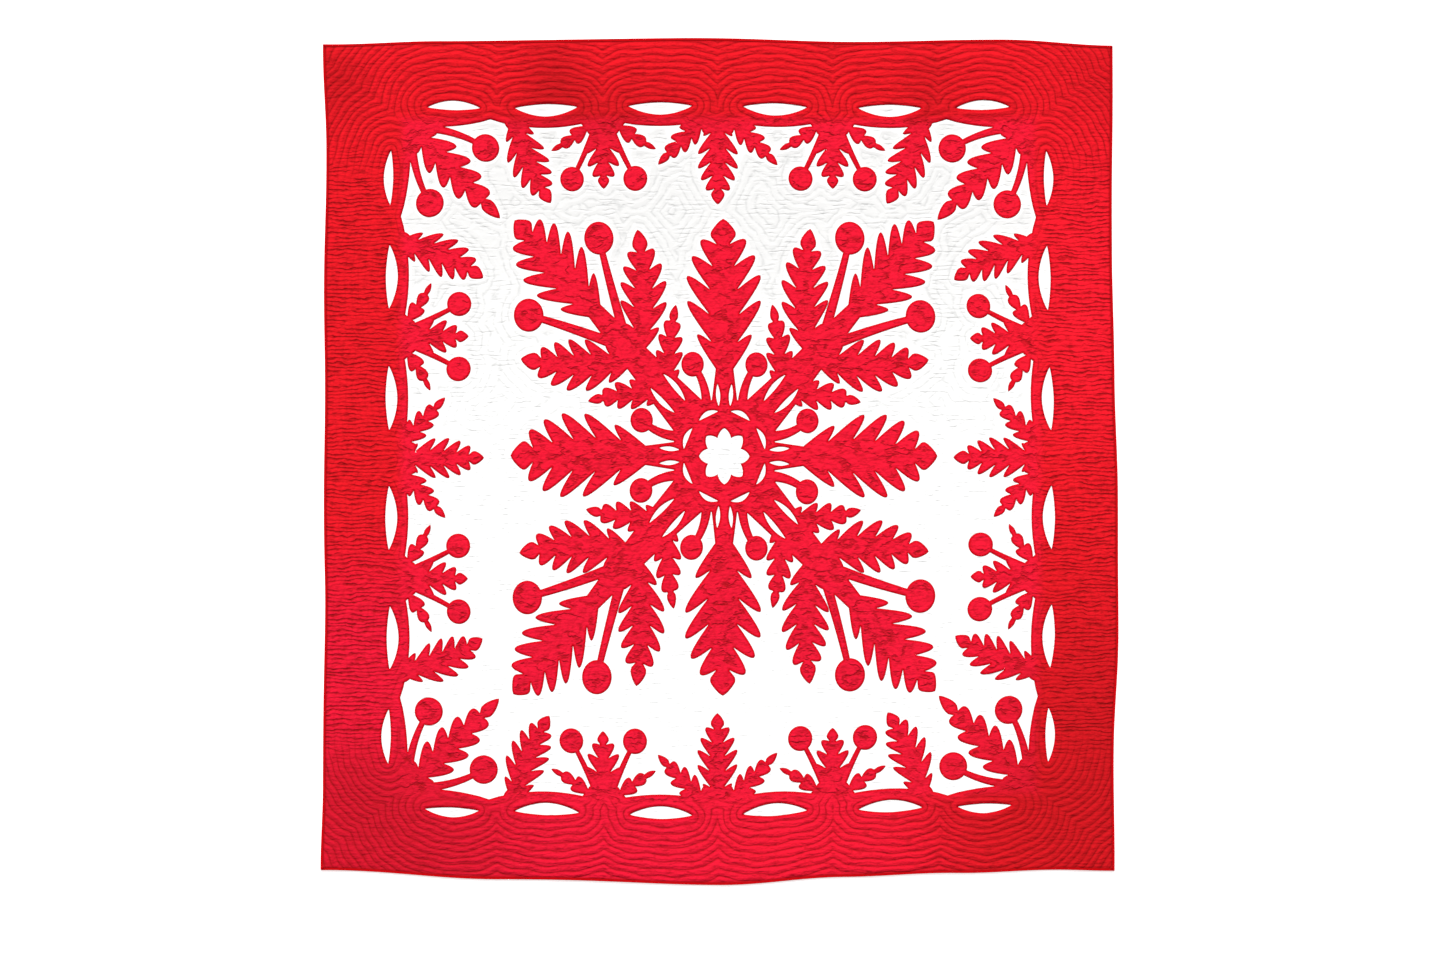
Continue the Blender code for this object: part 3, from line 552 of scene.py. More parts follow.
def white_field():
    """Outline of the open white field: a depth that swells between the hubs, with cut corners."""
    ring = []
    for turn in range(4):
        long_half, depth_half, _ = side_frames()[turn % 2]
        bay = BAY_SHARE * long_half
        scallops = int(FIELD_BAYS * 2.0)
        run = np.linspace(scallops / 2.0, -scallops / 2.0, scallops * FIELD_POINTS + 1)
        run = np.concatenate([[FIELD_BAYS], run, [-FIELD_BAYS]]) * bay
        depth = FIELD_DEPTH + FIELD_SCALLOP * np.abs(np.sin(math.pi * run / bay)) ** SCALLOP_POWER
        side = np.column_stack([run, depth_half - depth])
        cosine, sine = round(math.cos(turn * math.pi / 2)), round(math.sin(turn * math.pi / 2))
        ring.append(side @ np.array([[cosine, sine], [-sine, cosine]]))
    return np.vstack(ring)


def border_layers():
    """Layers of the border as (outline, is red)."""
    reds, whites = [], []
    for long_half, depth_half, upright in side_frames():
        bay = BAY_SHARE * long_half
        for hub, *spine, half_width, lobes in BORDER_LEAVES:
            base, bend, tip = np.reshape(spine, (3, 2)) + (hub * bay, 0.0)
            reds += on_side(leaf(base, bend, tip, half_width, lobes, BORDER_STALK), depth_half, upright)
        for hub, foot, bend_x, bend_y, x, depth, radius in BORDER_FRUITS:
            at = hub * bay
            stem = strip((at + foot, HUB_DEPTH), (at + bend_x, bend_y), (at + x, depth), *BORDER_STEM)
            reds += on_side(disc((at + x, depth), radius), depth_half, upright)
            reds += on_side(stem, depth_half, upright)
        for hub in KNOB_BAYS:
            reds += on_side(disc((hub * bay, HUB_DEPTH), HUB_KNOB), depth_half, upright)
        for bays, half_length, half_width, camber in LENSES:
            cut = lens((bays * bay, LENS_DEPTH), half_length, half_width, 0.0, camber)
            whites += on_side(cut, depth_half, upright)
    for *spine, half_width, lobes in CORNER_LEAVES:
        reds += on_corners(leaf(spine[:2], spine[2:4], spine[4:], half_width, lobes, BORDER_STALK))
    for *stem, radius in CORNER_FRUITS:
        reds += on_corners(disc(stem[4:], radius))
        reds += on_corners(strip(stem[:2], stem[2:4], stem[4:], *CORNER_STEM))
    knob_depth, knob_radius = CORNER_KNOB
    reds += on_corners(disc((knob_depth, knob_depth), knob_radius))
    layers = [(rim(CLOTH_INSET, EDGE_STEPS), True), (white_field(), False)]
    return layers + [(ring, True) for ring in reds] + [(ring, False) for ring in whites]


def anticlockwise(outline):
    """The outline, turned round if it runs clockwise."""
    after = np.roll(outline, -1, axis=0)
    area = (outline[:, 0] * after[:, 1] - outline[:, 1] * after[:, 0]).sum()
    return outline if area > 0.0 else outline[::-1]


def open_edges(triangles):
    """The directed edges that only one of the triangles has."""
    directed = triangles[:, [[0, 1], [1, 2], [2, 0]]].reshape(-1, 2).astype(np.int64)
    count = directed.max() + 1
    key = directed[:, 0] * count + directed[:, 1]
    back = directed[:, 1] * count + directed[:, 0]
    return directed[~np.isin(key, back)]


def loop_of(edges):
    """Number of the closed loop of each edge: the least of its corners, found in doubling strides."""
    ahead = np.arange(edges.max() + 1)
    ahead[edges[:, 0]] = edges[:, 1]
    least = np.arange(len(ahead))
    for _ in range(int(math.log2(len(ahead))) + 1):
        least = np.minimum(least, least[ahead])
        ahead = ahead[ahead]
    return least[edges[:, 0]]


def outline_of(layers):
    """Start and end points of the cut edges of the red cloth, which is on the left of each.

    All outlines go into one Delaunay triangulation, and the last layer over a triangle says
    whether it is red.
    """
    rings = [anticlockwise(ring) for ring, _ in layers]
    last = np.cumsum([len(ring) for ring in rings]).tolist()
    faces = [list(range(end - len(ring), end)) for ring, end in zip(rings, last)]
    laid, _, triangles, _, _, sources = delaunay_2d_cdt(np.vstack(rings).tolist(), [], faces, 0, MERGE)
    is_red = np.array([red for _, red in layers] + [False])
    cover = np.array([max(source, default=-1) for source in sources])
    edges = open_edges(np.array(triangles)[is_red[cover]])
    points = np.array(laid)
    starts, ends = points[edges[:, 0]], points[edges[:, 1]]
    loop = loop_of(edges)
    cross = starts[:, 0] * ends[:, 1] - starts[:, 1] * ends[:, 0]
    large = np.abs(np.bincount(loop, cross, len(points)))[loop] > 2.0 * SMALLEST_ISLAND
    return starts[large], ends[large]


def divided(starts, ends, longest):
    """Each straight edge cut evenly into pieces no longer than the given length."""
    count = np.maximum(np.ceil(np.hypot(*(ends - starts).T) / longest), 1).astype(int)
    which = np.repeat(np.arange(len(starts)), count)
    step = np.arange(len(which)) - np.repeat(np.cumsum(count) - count, count)
    way = (ends - starts)[which]
    return (starts[which] + way * (step / count[which])[:, None],
            starts[which] + way * ((step + 1) / count[which])[:, None])


def inside(points, starts, ends):
    """Whether each point is inside the closed outlines: a level line from it meets them oddly often.

    The points are taken in bands across, each with only the edges that reach into it.
    """
    found = np.zeros(len(points), bool)
    levels = np.linspace(-HALF_LENGTH - MAP_MARGIN, HALF_LENGTH + MAP_MARGIN, BANDS + 1)
    band = np.searchsorted(levels, points[:, 1])
    lowest = np.minimum(starts[:, 1], ends[:, 1])
    highest = np.maximum(starts[:, 1], ends[:, 1])
    for index in np.unique(band):
        here = np.nonzero(band == index)[0]
        near = (lowest <= levels[min(index, BANDS)]) & (highest >= levels[max(index - 1, 0)])
        start, end = starts[near], ends[near]
        x, y = points[here, :1], points[here, 1:]
        spans = (start[:, 1] > y) != (end[:, 1] > y)
        rise = np.where(start[:, 1] == end[:, 1], 1.0, end[:, 1] - start[:, 1])
        meets = start[:, 0] + (y - start[:, 1]) * (end[:, 0] - start[:, 0]) / rise
        found[here] = (spans & (meets > x)).sum(axis=1) % 2 == 1
    return found


class DistanceMap:
    """Distance to the nearest of many seed points, from a grid whose cells pass on their nearest seed."""

    def __init__(self, seeds):
        self.seeds = seeds
        self.low = -HALF - MAP_MARGIN
        self.shape = np.ceil(2.0 * (HALF + MAP_MARGIN) / CELL).astype(int) + 1
        owner = np.full(self.shape, -1)
        cell = np.round((seeds - self.low) / CELL).astype(int)
        owner[cell[:, 0], cell[:, 1]] = np.arange(len(seeds))
        grid = np.stack(np.meshgrid(*(np.arange(size) for size in self.shape), indexing="ij"), axis=-1)
        centre = self.low + grid * CELL
        best = self.reach(centre, owner)
        reach = 2 ** int(math.log2(self.shape.max()))
        while reach >= 1:
            for step_x in (-reach, 0, reach):
                for step_y in (-reach, 0, reach):
                    near_x = np.clip(grid[..., 0] + step_x, 0, self.shape[0] - 1)
                    near_y = np.clip(grid[..., 1] + step_y, 0, self.shape[1] - 1)
                    offered = owner[near_x, near_y]
                    away = self.reach(centre, offered)
                    closer = away < best
                    owner = np.where(closer, offered, owner)
                    best = np.where(closer, away, best)
            reach //= 2
        self.owner = owner

    def reach(self, points, owner):
        """Distance from each point to its seed, or a large number where it has none."""
        away = np.hypot(*np.moveaxis(points - self.seeds[owner], -1, 0))
        return np.where(owner < 0, FAR, away)

    def at(self, points):
        """Distance at each point: the least to the seeds of the four cells round it."""
        cell = np.clip(((points - self.low) / CELL).astype(int), 0, self.shape - 2)
        corners = [self.reach(points, self.owner[cell[:, 0] + x, cell[:, 1] + y])
                   for x in (0, 1) for y in (0, 1)]
        return np.min(corners, axis=0)


def turned_ring(starts, ends, reach):
    """Points at a reach to the left of each corner of the edges, along the mean of its two normals."""
    way = (ends - starts) / np.hypot(*(ends - starts).T)[:, None]
    normal = np.column_stack([-way[:, 1], way[:, 0]])
    keys = np.round(np.vstack([starts, ends]) / MERGE).astype(np.int64)
    corners, owner = np.unique(keys, axis=0, return_inverse=True)
    total = np.zeros((len(corners), 2))
    np.add.at(total, owner.ravel(), np.vstack([normal, normal]))
    size = np.hypot(*total.T)
    firm = size > FIRM_TURN
    return corners[firm] * MERGE + reach * total[firm] / size[firm, None]


def lattice(spacing):
    """Staggered points over the whole cloth: rows half a spacing out of step make equal triangles."""
    rise = spacing * math.sqrt(0.75)
    count = np.floor((HALF - CLOTH_INSET) * 2.0 / (spacing, rise)).astype(int)
    column, row = np.meshgrid(np.arange(count[0] + 1), np.arange(count[1] + 1))
    points = np.column_stack([(column + 0.5 * (row % 2)).ravel() * spacing, row.ravel() * rise])
    points = points - HALF + CLOTH_INSET + spacing / 3.0
    return points[rim_depth(points) > CLOTH_INSET + RIM_CLEAR * spacing]


def mesh_cloth(starts, ends, filling):
    """Delaunay triangles over edges and filling points, and the input number behind each vertex."""
    count = len(starts)
    points = np.vstack([starts, ends, filling])
    edges = np.column_stack([np.arange(count), np.arange(count) + count]).tolist()
    laid, _, triangles, sources, _, _ = delaunay_2d_cdt(points.tolist(), edges, [], 0, MERGE)
    first = np.array([min(source, default=0) for source in sources])
    return np.array(laid), np.array(triangles), first


def row_at(points, distance):
    """Number of quilting rows from the cut edge, with the wander of handwork, none at the edge."""
    row = distance / ROW_PITCH
    wander = sum(size * np.sin(points[:, 0] * turn_x + points[:, 1] * turn_y + phase)
                 for size, turn_x, turn_y, phase in ROW_WANDER)
    return row + wander * smooth(row / WANDER_FULL)


def side_share(points):
    """Share from 0 to 1 of the two upright borders, where short puckers cross the rows."""
    across, along = np.abs(points).T
    near = smooth((HALF_WIDTH - across - SIDE_FROM[0]) / (SIDE_FROM[1] - SIDE_FROM[0]))
    return near * smooth((SIDE_TO[0] - along) / (SIDE_TO[0] - SIDE_TO[1]))


def puff(row):
    """Height from 0 to 1 between stitched rows: a power of the size of a sine."""
    return np.abs(np.sin(math.pi * row)) ** PUFF_ROUND


def add_cloth(name, vertices, triangles, sharp, values, material):
    """One smooth object from vertices and triangles, sharp along an edge list, with point attributes."""
    used, index = np.unique(triangles, return_inverse=True)
    triangles = index.reshape(triangles.shape)
    mesh = bpy.data.meshes.new(name)
    mesh.vertices.add(len(used))
    mesh.vertices.foreach_set("co", vertices[used].astype(np.float32).ravel())
    mesh.loops.add(triangles.size)
    mesh.loops.foreach_set("vertex_index", triangles.astype(np.int32).ravel())
    mesh.polygons.add(len(triangles))
    mesh.polygons.foreach_set("loop_start", np.arange(len(triangles), dtype=np.int32) * 3)
    mesh.update(calc_edges=True)
    mesh.shade_smooth()
    if sharp is not None:
        pairs = np.zeros(2 * len(mesh.edges), np.int32)
        mesh.edges.foreach_get("vertices", pairs)
        is_sharp = sharp[used][pairs].reshape(-1, 2).all(axis=1)
        mesh.attributes.new("sharp_edge", "BOOLEAN", "EDGE").data.foreach_set("value", is_sharp)
    for label, value in values.items():
        layer = mesh.attributes.new(label, "FLOAT", "POINT")
        layer.data.foreach_set("value", value[used].astype(np.float32))
    mesh.materials.append(material)
    piece = bpy.data.objects.new(name, mesh)
    bpy.context.scene.collection.objects.link(piece)
    return piece


def make_applique(name, starts, ends, distances, spacing, rimmed, material):
    """A red cloth on the ground: rounded turned edges, puffed rows, and a flat underside.

    Height is the rise of the turned edge over its width, plus the puff of the row.
    """
    starts, ends = divided(starts, ends, LONGEST_EDGE)
    ring = turned_ring(starts, ends, TURNED_EDGE)
    ring = ring[(distances.at(ring) > EDGE_CLEAR) & (rim_depth(ring) > RING_DEPTH)]
    filling = lattice(spacing)
    filling = filling[distances.at(filling) > FILL_CLEAR]
    filling = filling[inside(filling, starts, ends)]
    points, triangles, first = mesh_cloth(starts, ends, np.vstack([ring, filling]))
    triangles = triangles[inside(points[triangles].mean(axis=1), starts, ends)]
    on_edge = first < 2 * len(starts)
    distance = distances.at(points)
    depth = rim_depth(points)
    on_cut = on_edge & (depth > OUTER_BAND)
    distance = np.where(on_cut, 0.0, np.maximum(distance, EDGE_CLEAR))
    row = row_at(points, distance)
    calm = smooth((depth - RIM_FLAT) / (RIM_FULL - RIM_FLAT)) if rimmed else 1.0
    turned = np.sqrt(np.clip(distance / TURNED_EDGE, 0.0, 1.0))
    motif = smooth((depth - MOTIF_START) / (MOTIF_FULL - MOTIF_START))
    side = side_share(points) * (1.0 - motif)
    strength = (1.0 - MOTIF_CALM * motif) * (1.0 - SIDE_CALM * side)
    level = TOP_PUCKER + (1.0 - TOP_PUCKER) * side + (MOTIF_PUCKER - TOP_PUCKER) * motif
    height = CUT_HEIGHT + (APPLIQUE_TOP - CUT_HEIGHT) * turned
    height = height + RED_PUFF * puff(row) * calm * turned * strength
    top = np.column_stack([place(points), height + lift(points)])
    under_points, under, under_first = mesh_cloth(starts, ends, np.zeros((0, 2)))
    under = under[inside(under_points[under].mean(axis=1), starts, ends)]
    bottom = np.column_stack([place(under_points), CUT_HEIGHT + lift(under_points)])
    count = len(points)
    vertex_of = np.full(2 * len(starts), -1)
    vertex_of[first[on_edge]] = np.nonzero(on_edge)[0]
    shared = under_first < 2 * len(starts)
    joined = np.arange(len(under_points)) + count
    same = vertex_of[under_first[shared]]
    joined[shared] = np.where(same >= 0, same, joined[shared])
    triangles = np.vstack([triangles, joined[under[:, ::-1]]])
    vertices = np.vstack([top, bottom])
    extra = np.zeros(len(under_points))
    upper = (row, distance, depth, strength, level, motif)
    values = {label: np.concatenate([value, extra]) for label, value in zip(RED_ATTRIBUTES, upper)}
    sharp = np.concatenate([on_edge, np.ones(len(under_points), bool)])
    return add_cloth(name, vertices, triangles, sharp, values, material)


def back_row(points):
    """Rows on the backing: rounded rectangles about the middle, one pitch apart."""
    beyond = np.maximum(np.abs(points) - BACK_HALF, -BACK_ROUND)
    away = np.hypot(*(np.maximum(beyond + BACK_ROUND, 0.0)).T)
    return away / ROW_PITCH


def make_ground(starts, ends, distances, material):
    """The white wadded panel: puffed rows where it shows, flat under the red cloth, a thin hem."""
    starts, ends = divided(starts, ends, LONGEST_EDGE)
    outer = rim(CLOTH_INSET, EDGE_STEPS)
    steps = len(outer)
    white = lattice(WHITE_SPACING)
    white = white[distances.at(white) > FILL_CLEAR]
    white = white[~inside(white, starts, ends) & (rim_depth(white) > COVERED_RIM)]
    hidden = lattice(HIDDEN_SPACING)
    hidden = hidden[distances.at(hidden) > FILL_CLEAR]
    hidden = hidden[inside(hidden, starts, ends) | (rim_depth(hidden) < COVERED_RIM)]
    all_starts = np.vstack([starts, outer])
    all_ends = np.vstack([ends, np.roll(outer, -1, axis=0)])
    points, triangles, first = mesh_cloth(all_starts, all_ends, np.vstack([white, hidden]))
    count = len(points)
    on_edge = first < 2 * len(all_starts)
    distance = np.where(on_edge, 0.0, distances.at(points))
    row = row_at(points, distance)
    shows = (first >= 2 * len(all_starts)) & (first < 2 * len(all_starts) + len(white))
    height = GROUND_TOP + WHITE_PUFF * puff(row) * shows
    vertices = [np.column_stack([place(points), height + lift(points)])]
    is_rim = (first >= len(starts)) & (first < len(all_starts))
    is_rim |= (first >= 2 * len(all_starts) - steps) & (first < 2 * len(all_starts))
    rim_vertices = np.nonzero(is_rim)[0]
    corner_gap = np.abs(points[rim_vertices][None, :, :] - outer[:, None, :]).sum(axis=2)
    edge = rim_vertices[corner_gap.argmin(axis=1)]
    rings = [edge]
    total = count
    for inset, level in ((CLOTH_INSET, TONGUE_BOTTOM), (TONGUE_END, TONGUE_BOTTOM)):
        hem = rim(inset, EDGE_STEPS)
        vertices.append(np.column_stack([place(hem), level + lift(hem)]))
        rings.append(np.arange(steps) + total)
        total += steps
    back = lattice(BACK_SPACING)
    back = back[rim_depth(back) > TONGUE_RAMP_END + RIM_CLEAR * BACK_SPACING]
    inner = rim(TONGUE_RAMP_END, EDGE_STEPS)
    back_points, back_triangles, _ = mesh_cloth(inner, np.roll(inner, -1, axis=0), back)
    back_gap = np.abs(back_points[None, :, :] - inner[:, None, :]).sum(axis=2)
    rings.append(back_gap.argmin(axis=1) + total)
    vertices.append(np.column_stack([place(back_points), lift(back_points)]))
    walls = []
    for upper, lower in zip(rings, rings[1:]):
        upper_after, lower_after = np.roll(upper, -1), np.roll(lower, -1)
        walls.append(np.column_stack([upper_after, upper, lower]))
        walls.append(np.column_stack([upper_after, lower, lower_after]))
    faces = np.vstack([triangles, *walls, back_triangles[:, ::-1] + total])
    hem_count = total - count
    values = {
        "row": np.concatenate([row, np.full(hem_count, RIDGE_ROW), back_row(back_points)]),
        "cut": np.concatenate([distance, np.full(hem_count + len(back_points), NO_CUT)]),
    }
    sharp = np.zeros(total + len(back_points), bool)
    sharp[edge] = True
    sharp[rings[1]] = True
    return add_cloth("wadded_ground", np.vstack(vertices), faces, sharp, values, material)


def binding_section():
    """Closed section of the folded binding as (distance inwards, height), outside first.

    The outside runs from the underside's edge round a half oval to the top's edge, and the inside
    runs back one wall thickness within it.
    """
    wide, wall, bend = BINDING_WIDTH, BINDING_WALL, BINDING_ROUND
    turn = np.linspace(-math.pi / 2.0, 0.0, BINDING_ROUND_STEPS)
    low = np.column_stack([bend - bend * np.cos(turn), bend + bend * np.sin(turn)])
    turn = np.linspace(0.0, math.pi / 2.0, BINDING_ROUND_STEPS)
    high = np.column_stack([bend - bend * np.cos(turn), BINDING_TOP - bend + bend * np.sin(turn)])
    top = np.array(BINDING_SLOPE) * (wide, -1.0) + (0.0, BINDING_TOP)
    outside = np.vstack([[(wide, 0.0)], low, high, top])
    within = ((wide, BINDING_UNDER), (wall, BINDING_UNDER), (wall, FLAP_TOP), (wide, FLAP_TOP))
    return np.vstack([outside, within])


def make_binding(name, along_y, sign, material):
    """One edge of the binding: its section carried along the bowed edge and mitred at both ends."""
    section = binding_section()
    turns = len(section)
    long_half, depth_half = (HALF_LENGTH, HALF_WIDTH) if along_y else (HALF_WIDTH, HALF_LENGTH)
    step, inset = np.meshgrid(np.linspace(-1.0, 1.0, BINDING_STATIONS + 1), section[:, 0], indexing="ij")
    _, height = np.meshgrid(step[:, 0], section[:, 1], indexing="ij")
    run = step * (long_half - inset - MITRE_GAP / math.sqrt(2.0))
    out = sign * (depth_half - inset)
    flat = np.column_stack([out.ravel(), run.ravel()] if along_y else [run.ravel(), out.ravel()])
    vertices = np.column_stack([place(flat), height.ravel() + lift(flat)])
    station, side = np.meshgrid(np.arange(BINDING_STATIONS), np.arange(turns), indexing="ij")
    near, after = station * turns + side, station * turns + (side + 1) % turns
    quads = np.stack([near, after, after + turns, near + turns], axis=-1).reshape(-1, 4)
    triangles = np.vstack([quads[:, [0, 1, 2]], quads[:, [0, 2, 3]]])
    cap = np.array(section_caps(section))
    triangles = np.vstack([triangles, cap[:, ::-1], cap + BINDING_STATIONS * turns])
    if along_y != (sign > 0):
        triangles = triangles[:, ::-1]
    return add_cloth(name, vertices, triangles, None, {"cut": inset.ravel()}, material)


def section_caps(section):
    """Triangles that fill the section's outline, anticlockwise in its own plane."""
    count = len(section)
    outline = [tuple(point) for point in section / section.max()]
    _, _, triangles, sources, _, _ = delaunay_2d_cdt(outline, [], [list(range(count))], 1, MERGE)
    return [tuple(sources[index][0] for index in triangle) for triangle in triangles]


def add_node(tree, kind, inputs=(), **settings):
    """A shader node with its settings, its inputs given as (socket, value or output)."""
    made = tree.nodes.new(kind)
    for setting, value in settings.items():
        setattr(made, setting, value)
    for socket, value in inputs:
        if isinstance(value, bpy.types.NodeSocket):
            tree.links.new(value, made.inputs[socket])
        else:
            made.inputs[socket].default_value = value
    return made


def calculate(tree, operation, *values, clamp=False):
    """Output of a maths node."""
    made = add_node(tree, "ShaderNodeMath", enumerate(values), operation=operation, use_clamp=clamp)
    return made.outputs[0]


def spread(tree, value, low, high, to_low=0.0, to_high=1.0):
    """Value eased from one range to another."""
    sockets = (("Value", value), ("From Min", low), ("From Max", high),
               ("To Min", to_low), ("To Max", to_high))
    made = add_node(tree, "ShaderNodeMapRange", sockets, interpolation_type="SMOOTHSTEP")
    return made.outputs["Result"]


def noise_at(tree, coordinate, stretch, scale, detail=2.0, roughness=0.5):
    """Noise of stretched coordinates, from 0 to 1 about a half."""
    moved = add_node(tree, "ShaderNodeMapping", ((0, coordinate), ("Scale", stretch)))
    sockets = ((0, moved.outputs[0]), ("Scale", scale), ("Detail", detail), ("Roughness", roughness))
    return add_node(tree, "ShaderNodeTexNoise", sockets).outputs["Fac"]


def attribute_of(tree, label):
    """A value that the piece keeps at each point."""
    return add_node(tree, "ShaderNodeAttribute", attribute_name=label).outputs["Fac"]


def mix_colour(tree, share, first, second):
    """Mix of two colours by a share."""
    made = add_node(tree, "ShaderNodeMix", ((0, share), (6, first), (7, second)), data_type="RGBA")
    return made.outputs[2]


def new_material(label, roughness):
    """A dull material with its node tree and Principled shader."""
    material = bpy.data.materials.new(label)
    material.use_nodes = True
    shader = material.node_tree.nodes["Principled BSDF"]
    shader.inputs["Roughness"].default_value = roughness
    shader.inputs["Specular IOR Level"].default_value = SPECULAR
    return material, material.node_tree, shader


def dress(tree, shader, colour, normal):
    """Link a colour and a bump normal to the shader."""
    tree.links.new(colour, shader.inputs["Base Color"])
    tree.links.new(normal, shader.inputs["Normal"])


def object_place(tree):
    """Place on the quilt, in its own metres."""
    return add_node(tree, "ShaderNodeTexCoord").outputs["Object"]


def product(tree, first, second, clamp=False):
    """First times second."""
    return calculate(tree, "MULTIPLY", first, second, clamp=clamp)


def add_layers(tree, base, layers, shares, clamp=False):
    """Base plus each layer times its own share."""
    for pattern, share in zip(layers, shares):
        base = calculate(tree, "MULTIPLY_ADD", pattern, share, base, clamp=clamp)
    return base


def row_shape(tree, row):
    """Place between rows, 0 on a stitched line and 1 on a ridge."""
    part = calculate(tree, "FRACT", calculate(tree, "ADD", row, 0.5))
    return product(tree, calculate(tree, "ABSOLUTE", calculate(tree, "SUBTRACT", part, 0.5)), 2.0)


def row_ridge(tree, ridge, rise):
    """Height between rows: a power of the place between them, times the rise."""
    return product(tree, calculate(tree, "POWER", ridge, RIDGE_POWER), rise)


def pucker_at(tree, coordinate, stretch, scale, distortion, finer):
    """Wavy short ridges across the cloth, from 0 to 1: level bands bent and broken by noise."""
    moved = add_node(tree, "ShaderNodeMapping", ((0, coordinate), ("Scale", stretch)))
    sockets = ((0, moved.outputs[0]), ("Scale", scale), ("Distortion", distortion),
               ("Detail", PUCKER_DETAIL), ("Detail Scale", finer), ("Detail Roughness", PUCKER_ROUGHNESS))
    wave = add_node(tree, "ShaderNodeTexWave", sockets, wave_type="BANDS", bands_direction="Y")
    return wave.outputs["Fac"]


def crinkle_at(tree, coordinate, stretch, scale, width):
    """Thin meandering lines, from 0 to 1: where noise is close to a half."""
    noise = noise_at(tree, coordinate, stretch, scale, WRINKLE_DETAIL, WRINKLE_ROUGHNESS)
    away = calculate(tree, "ABSOLUTE", calculate(tree, "SUBTRACT", noise, 0.5))
    return spread(tree, away, 0.0, width, 1.0, 0.0)


def relief(tree, rise, layers, heights):
    """Bump normal of the rise plus each layer times its own height."""
    height = add_layers(tree, rise, layers, heights)
    bump = add_node(tree, "ShaderNodeBump", (("Strength", 1.0), ("Distance", 1.0), ("Height", height)))
    return bump.outputs[0]


def soft_patch(tree, at, across, along, half_across, half_along, share):
    """Share that fades from the middle of an oval to nothing at its rim."""
    sockets = ((0, at), ("Scale", (1.0 / half_across, 1.0 / half_along, 0.0)),
               ("Location", (-across / half_across, -along / half_along, 0.0)))
    moved = add_node(tree, "ShaderNodeMapping", sockets)
    away = add_node(tree, "ShaderNodeVectorMath", ((0, moved.outputs[0]),), operation="LENGTH")
    return spread(tree, away.outputs["Value"], 0.0, 1.0, share, 0.0)


def red_cotton():
    """Quilted red cotton: painted shade in stitched valleys and wavy puckers, and on turned edges.

    Painted shade is the sum of each pattern times its share. The colour goes from light to dark by it,
    after painted light in soft ovals, then takes painted shade in soft ovals, by turned edges and the
    binding.
    """
    material, tree, shader = new_material("red_cotton_cloth", CLOTH_ROUGHNESS)
    at = object_place(tree)
    place_x, place_y, _ = add_node(tree, "ShaderNodeSeparateXYZ", ((0, at),)).outputs
    row, cut, rim, strength, level, motif = (attribute_of(tree, label) for label in RED_ATTRIBUTES)
    ridge = row_shape(tree, row)
    puckers = pucker_at(tree, at, *RED_PUCKERS)
    wrinkles = crinkle_at(tree, at, *WRINKLES)
    mottle = noise_at(tree, at, *MOTTLE)
    patches = noise_at(tree, at, *PATCHES)
    fine = noise_at(tree, at, *RED_FINE)
    valley = product(tree, spread(tree, ridge, *RED_VALLEY), strength)
    broken = product(tree, valley, spread(tree, mottle, *VALLEY_BREAKS))
    puckered = product(tree, level, spread(tree, patches, *PUCKER_PATCHES))
    short_line = product(tree, spread(tree, puckers, *PUCKER_LINE), puckered)
    wrinkled = product(tree, motif, spread(tree, patches, *MOTIF_PATCHES))
    long_line = product(tree, wrinkles, product(tree, wrinkled, spread(tree, cut, *INSIDE_EDGE)))
    # The border red is darker than the leaf red: painted shade of the dense quilting
    light = mix_colour(tree, motif, BORDER_RED, LEAF_RED)
    pink = product(tree, spread(tree, place_y, *PINK_ALONG), spread(tree, place_x, *PINK_ACROSS))
    light = mix_colour(tree, pink, light, PINK_RED)
    # Painted light in soft ovals
    for soft_light in SOFT_LIGHTS:
        light = mix_colour(tree, soft_patch(tree, at, *soft_light), light, PAINTED_LIGHT_RED)
    darks = (broken, short_line, spread(tree, fine, *FINE_DARK), spread(tree, mottle, *MOTTLE_DARK),
             long_line)
    # Painted shade of valleys, puckers, lumps, mottle and wrinkles
    shade = add_layers(tree, 0.0, darks, RED_SHADES, clamp=True)
    colour = mix_colour(tree, shade, light, SHADE_RED)
    # Painted shade in soft ovals
    for soft_shade in SOFT_SHADES:
        colour = mix_colour(tree, soft_patch(tree, at, *soft_shade), colour, SHADE_RED)
    # Painted shade on turned edges, a painted shadow line at cut edges, and painted shade inside the
    # binding
    for depth, band, darker in ((cut, EDGE_SHADE_BAND, EDGE_SHADE_RED), (cut, LINE_SHADE_BAND, LINE_SHADE_RED),
                                (rim, RIM_SHADE_BAND, SHADE_RED)):
        colour = mix_colour(tree, spread(tree, depth, *band), colour, darker)
    rise = product(tree, row_ridge(tree, ridge, RED_RIDGE), strength)
    layers = (short_line, long_line, patches, mottle, fine, noise_at(tree, at, *WEAVE))
    normal = relief(tree, rise, layers, RED_RELIEF)
    dress(tree, shader, colour, normal)
    return material


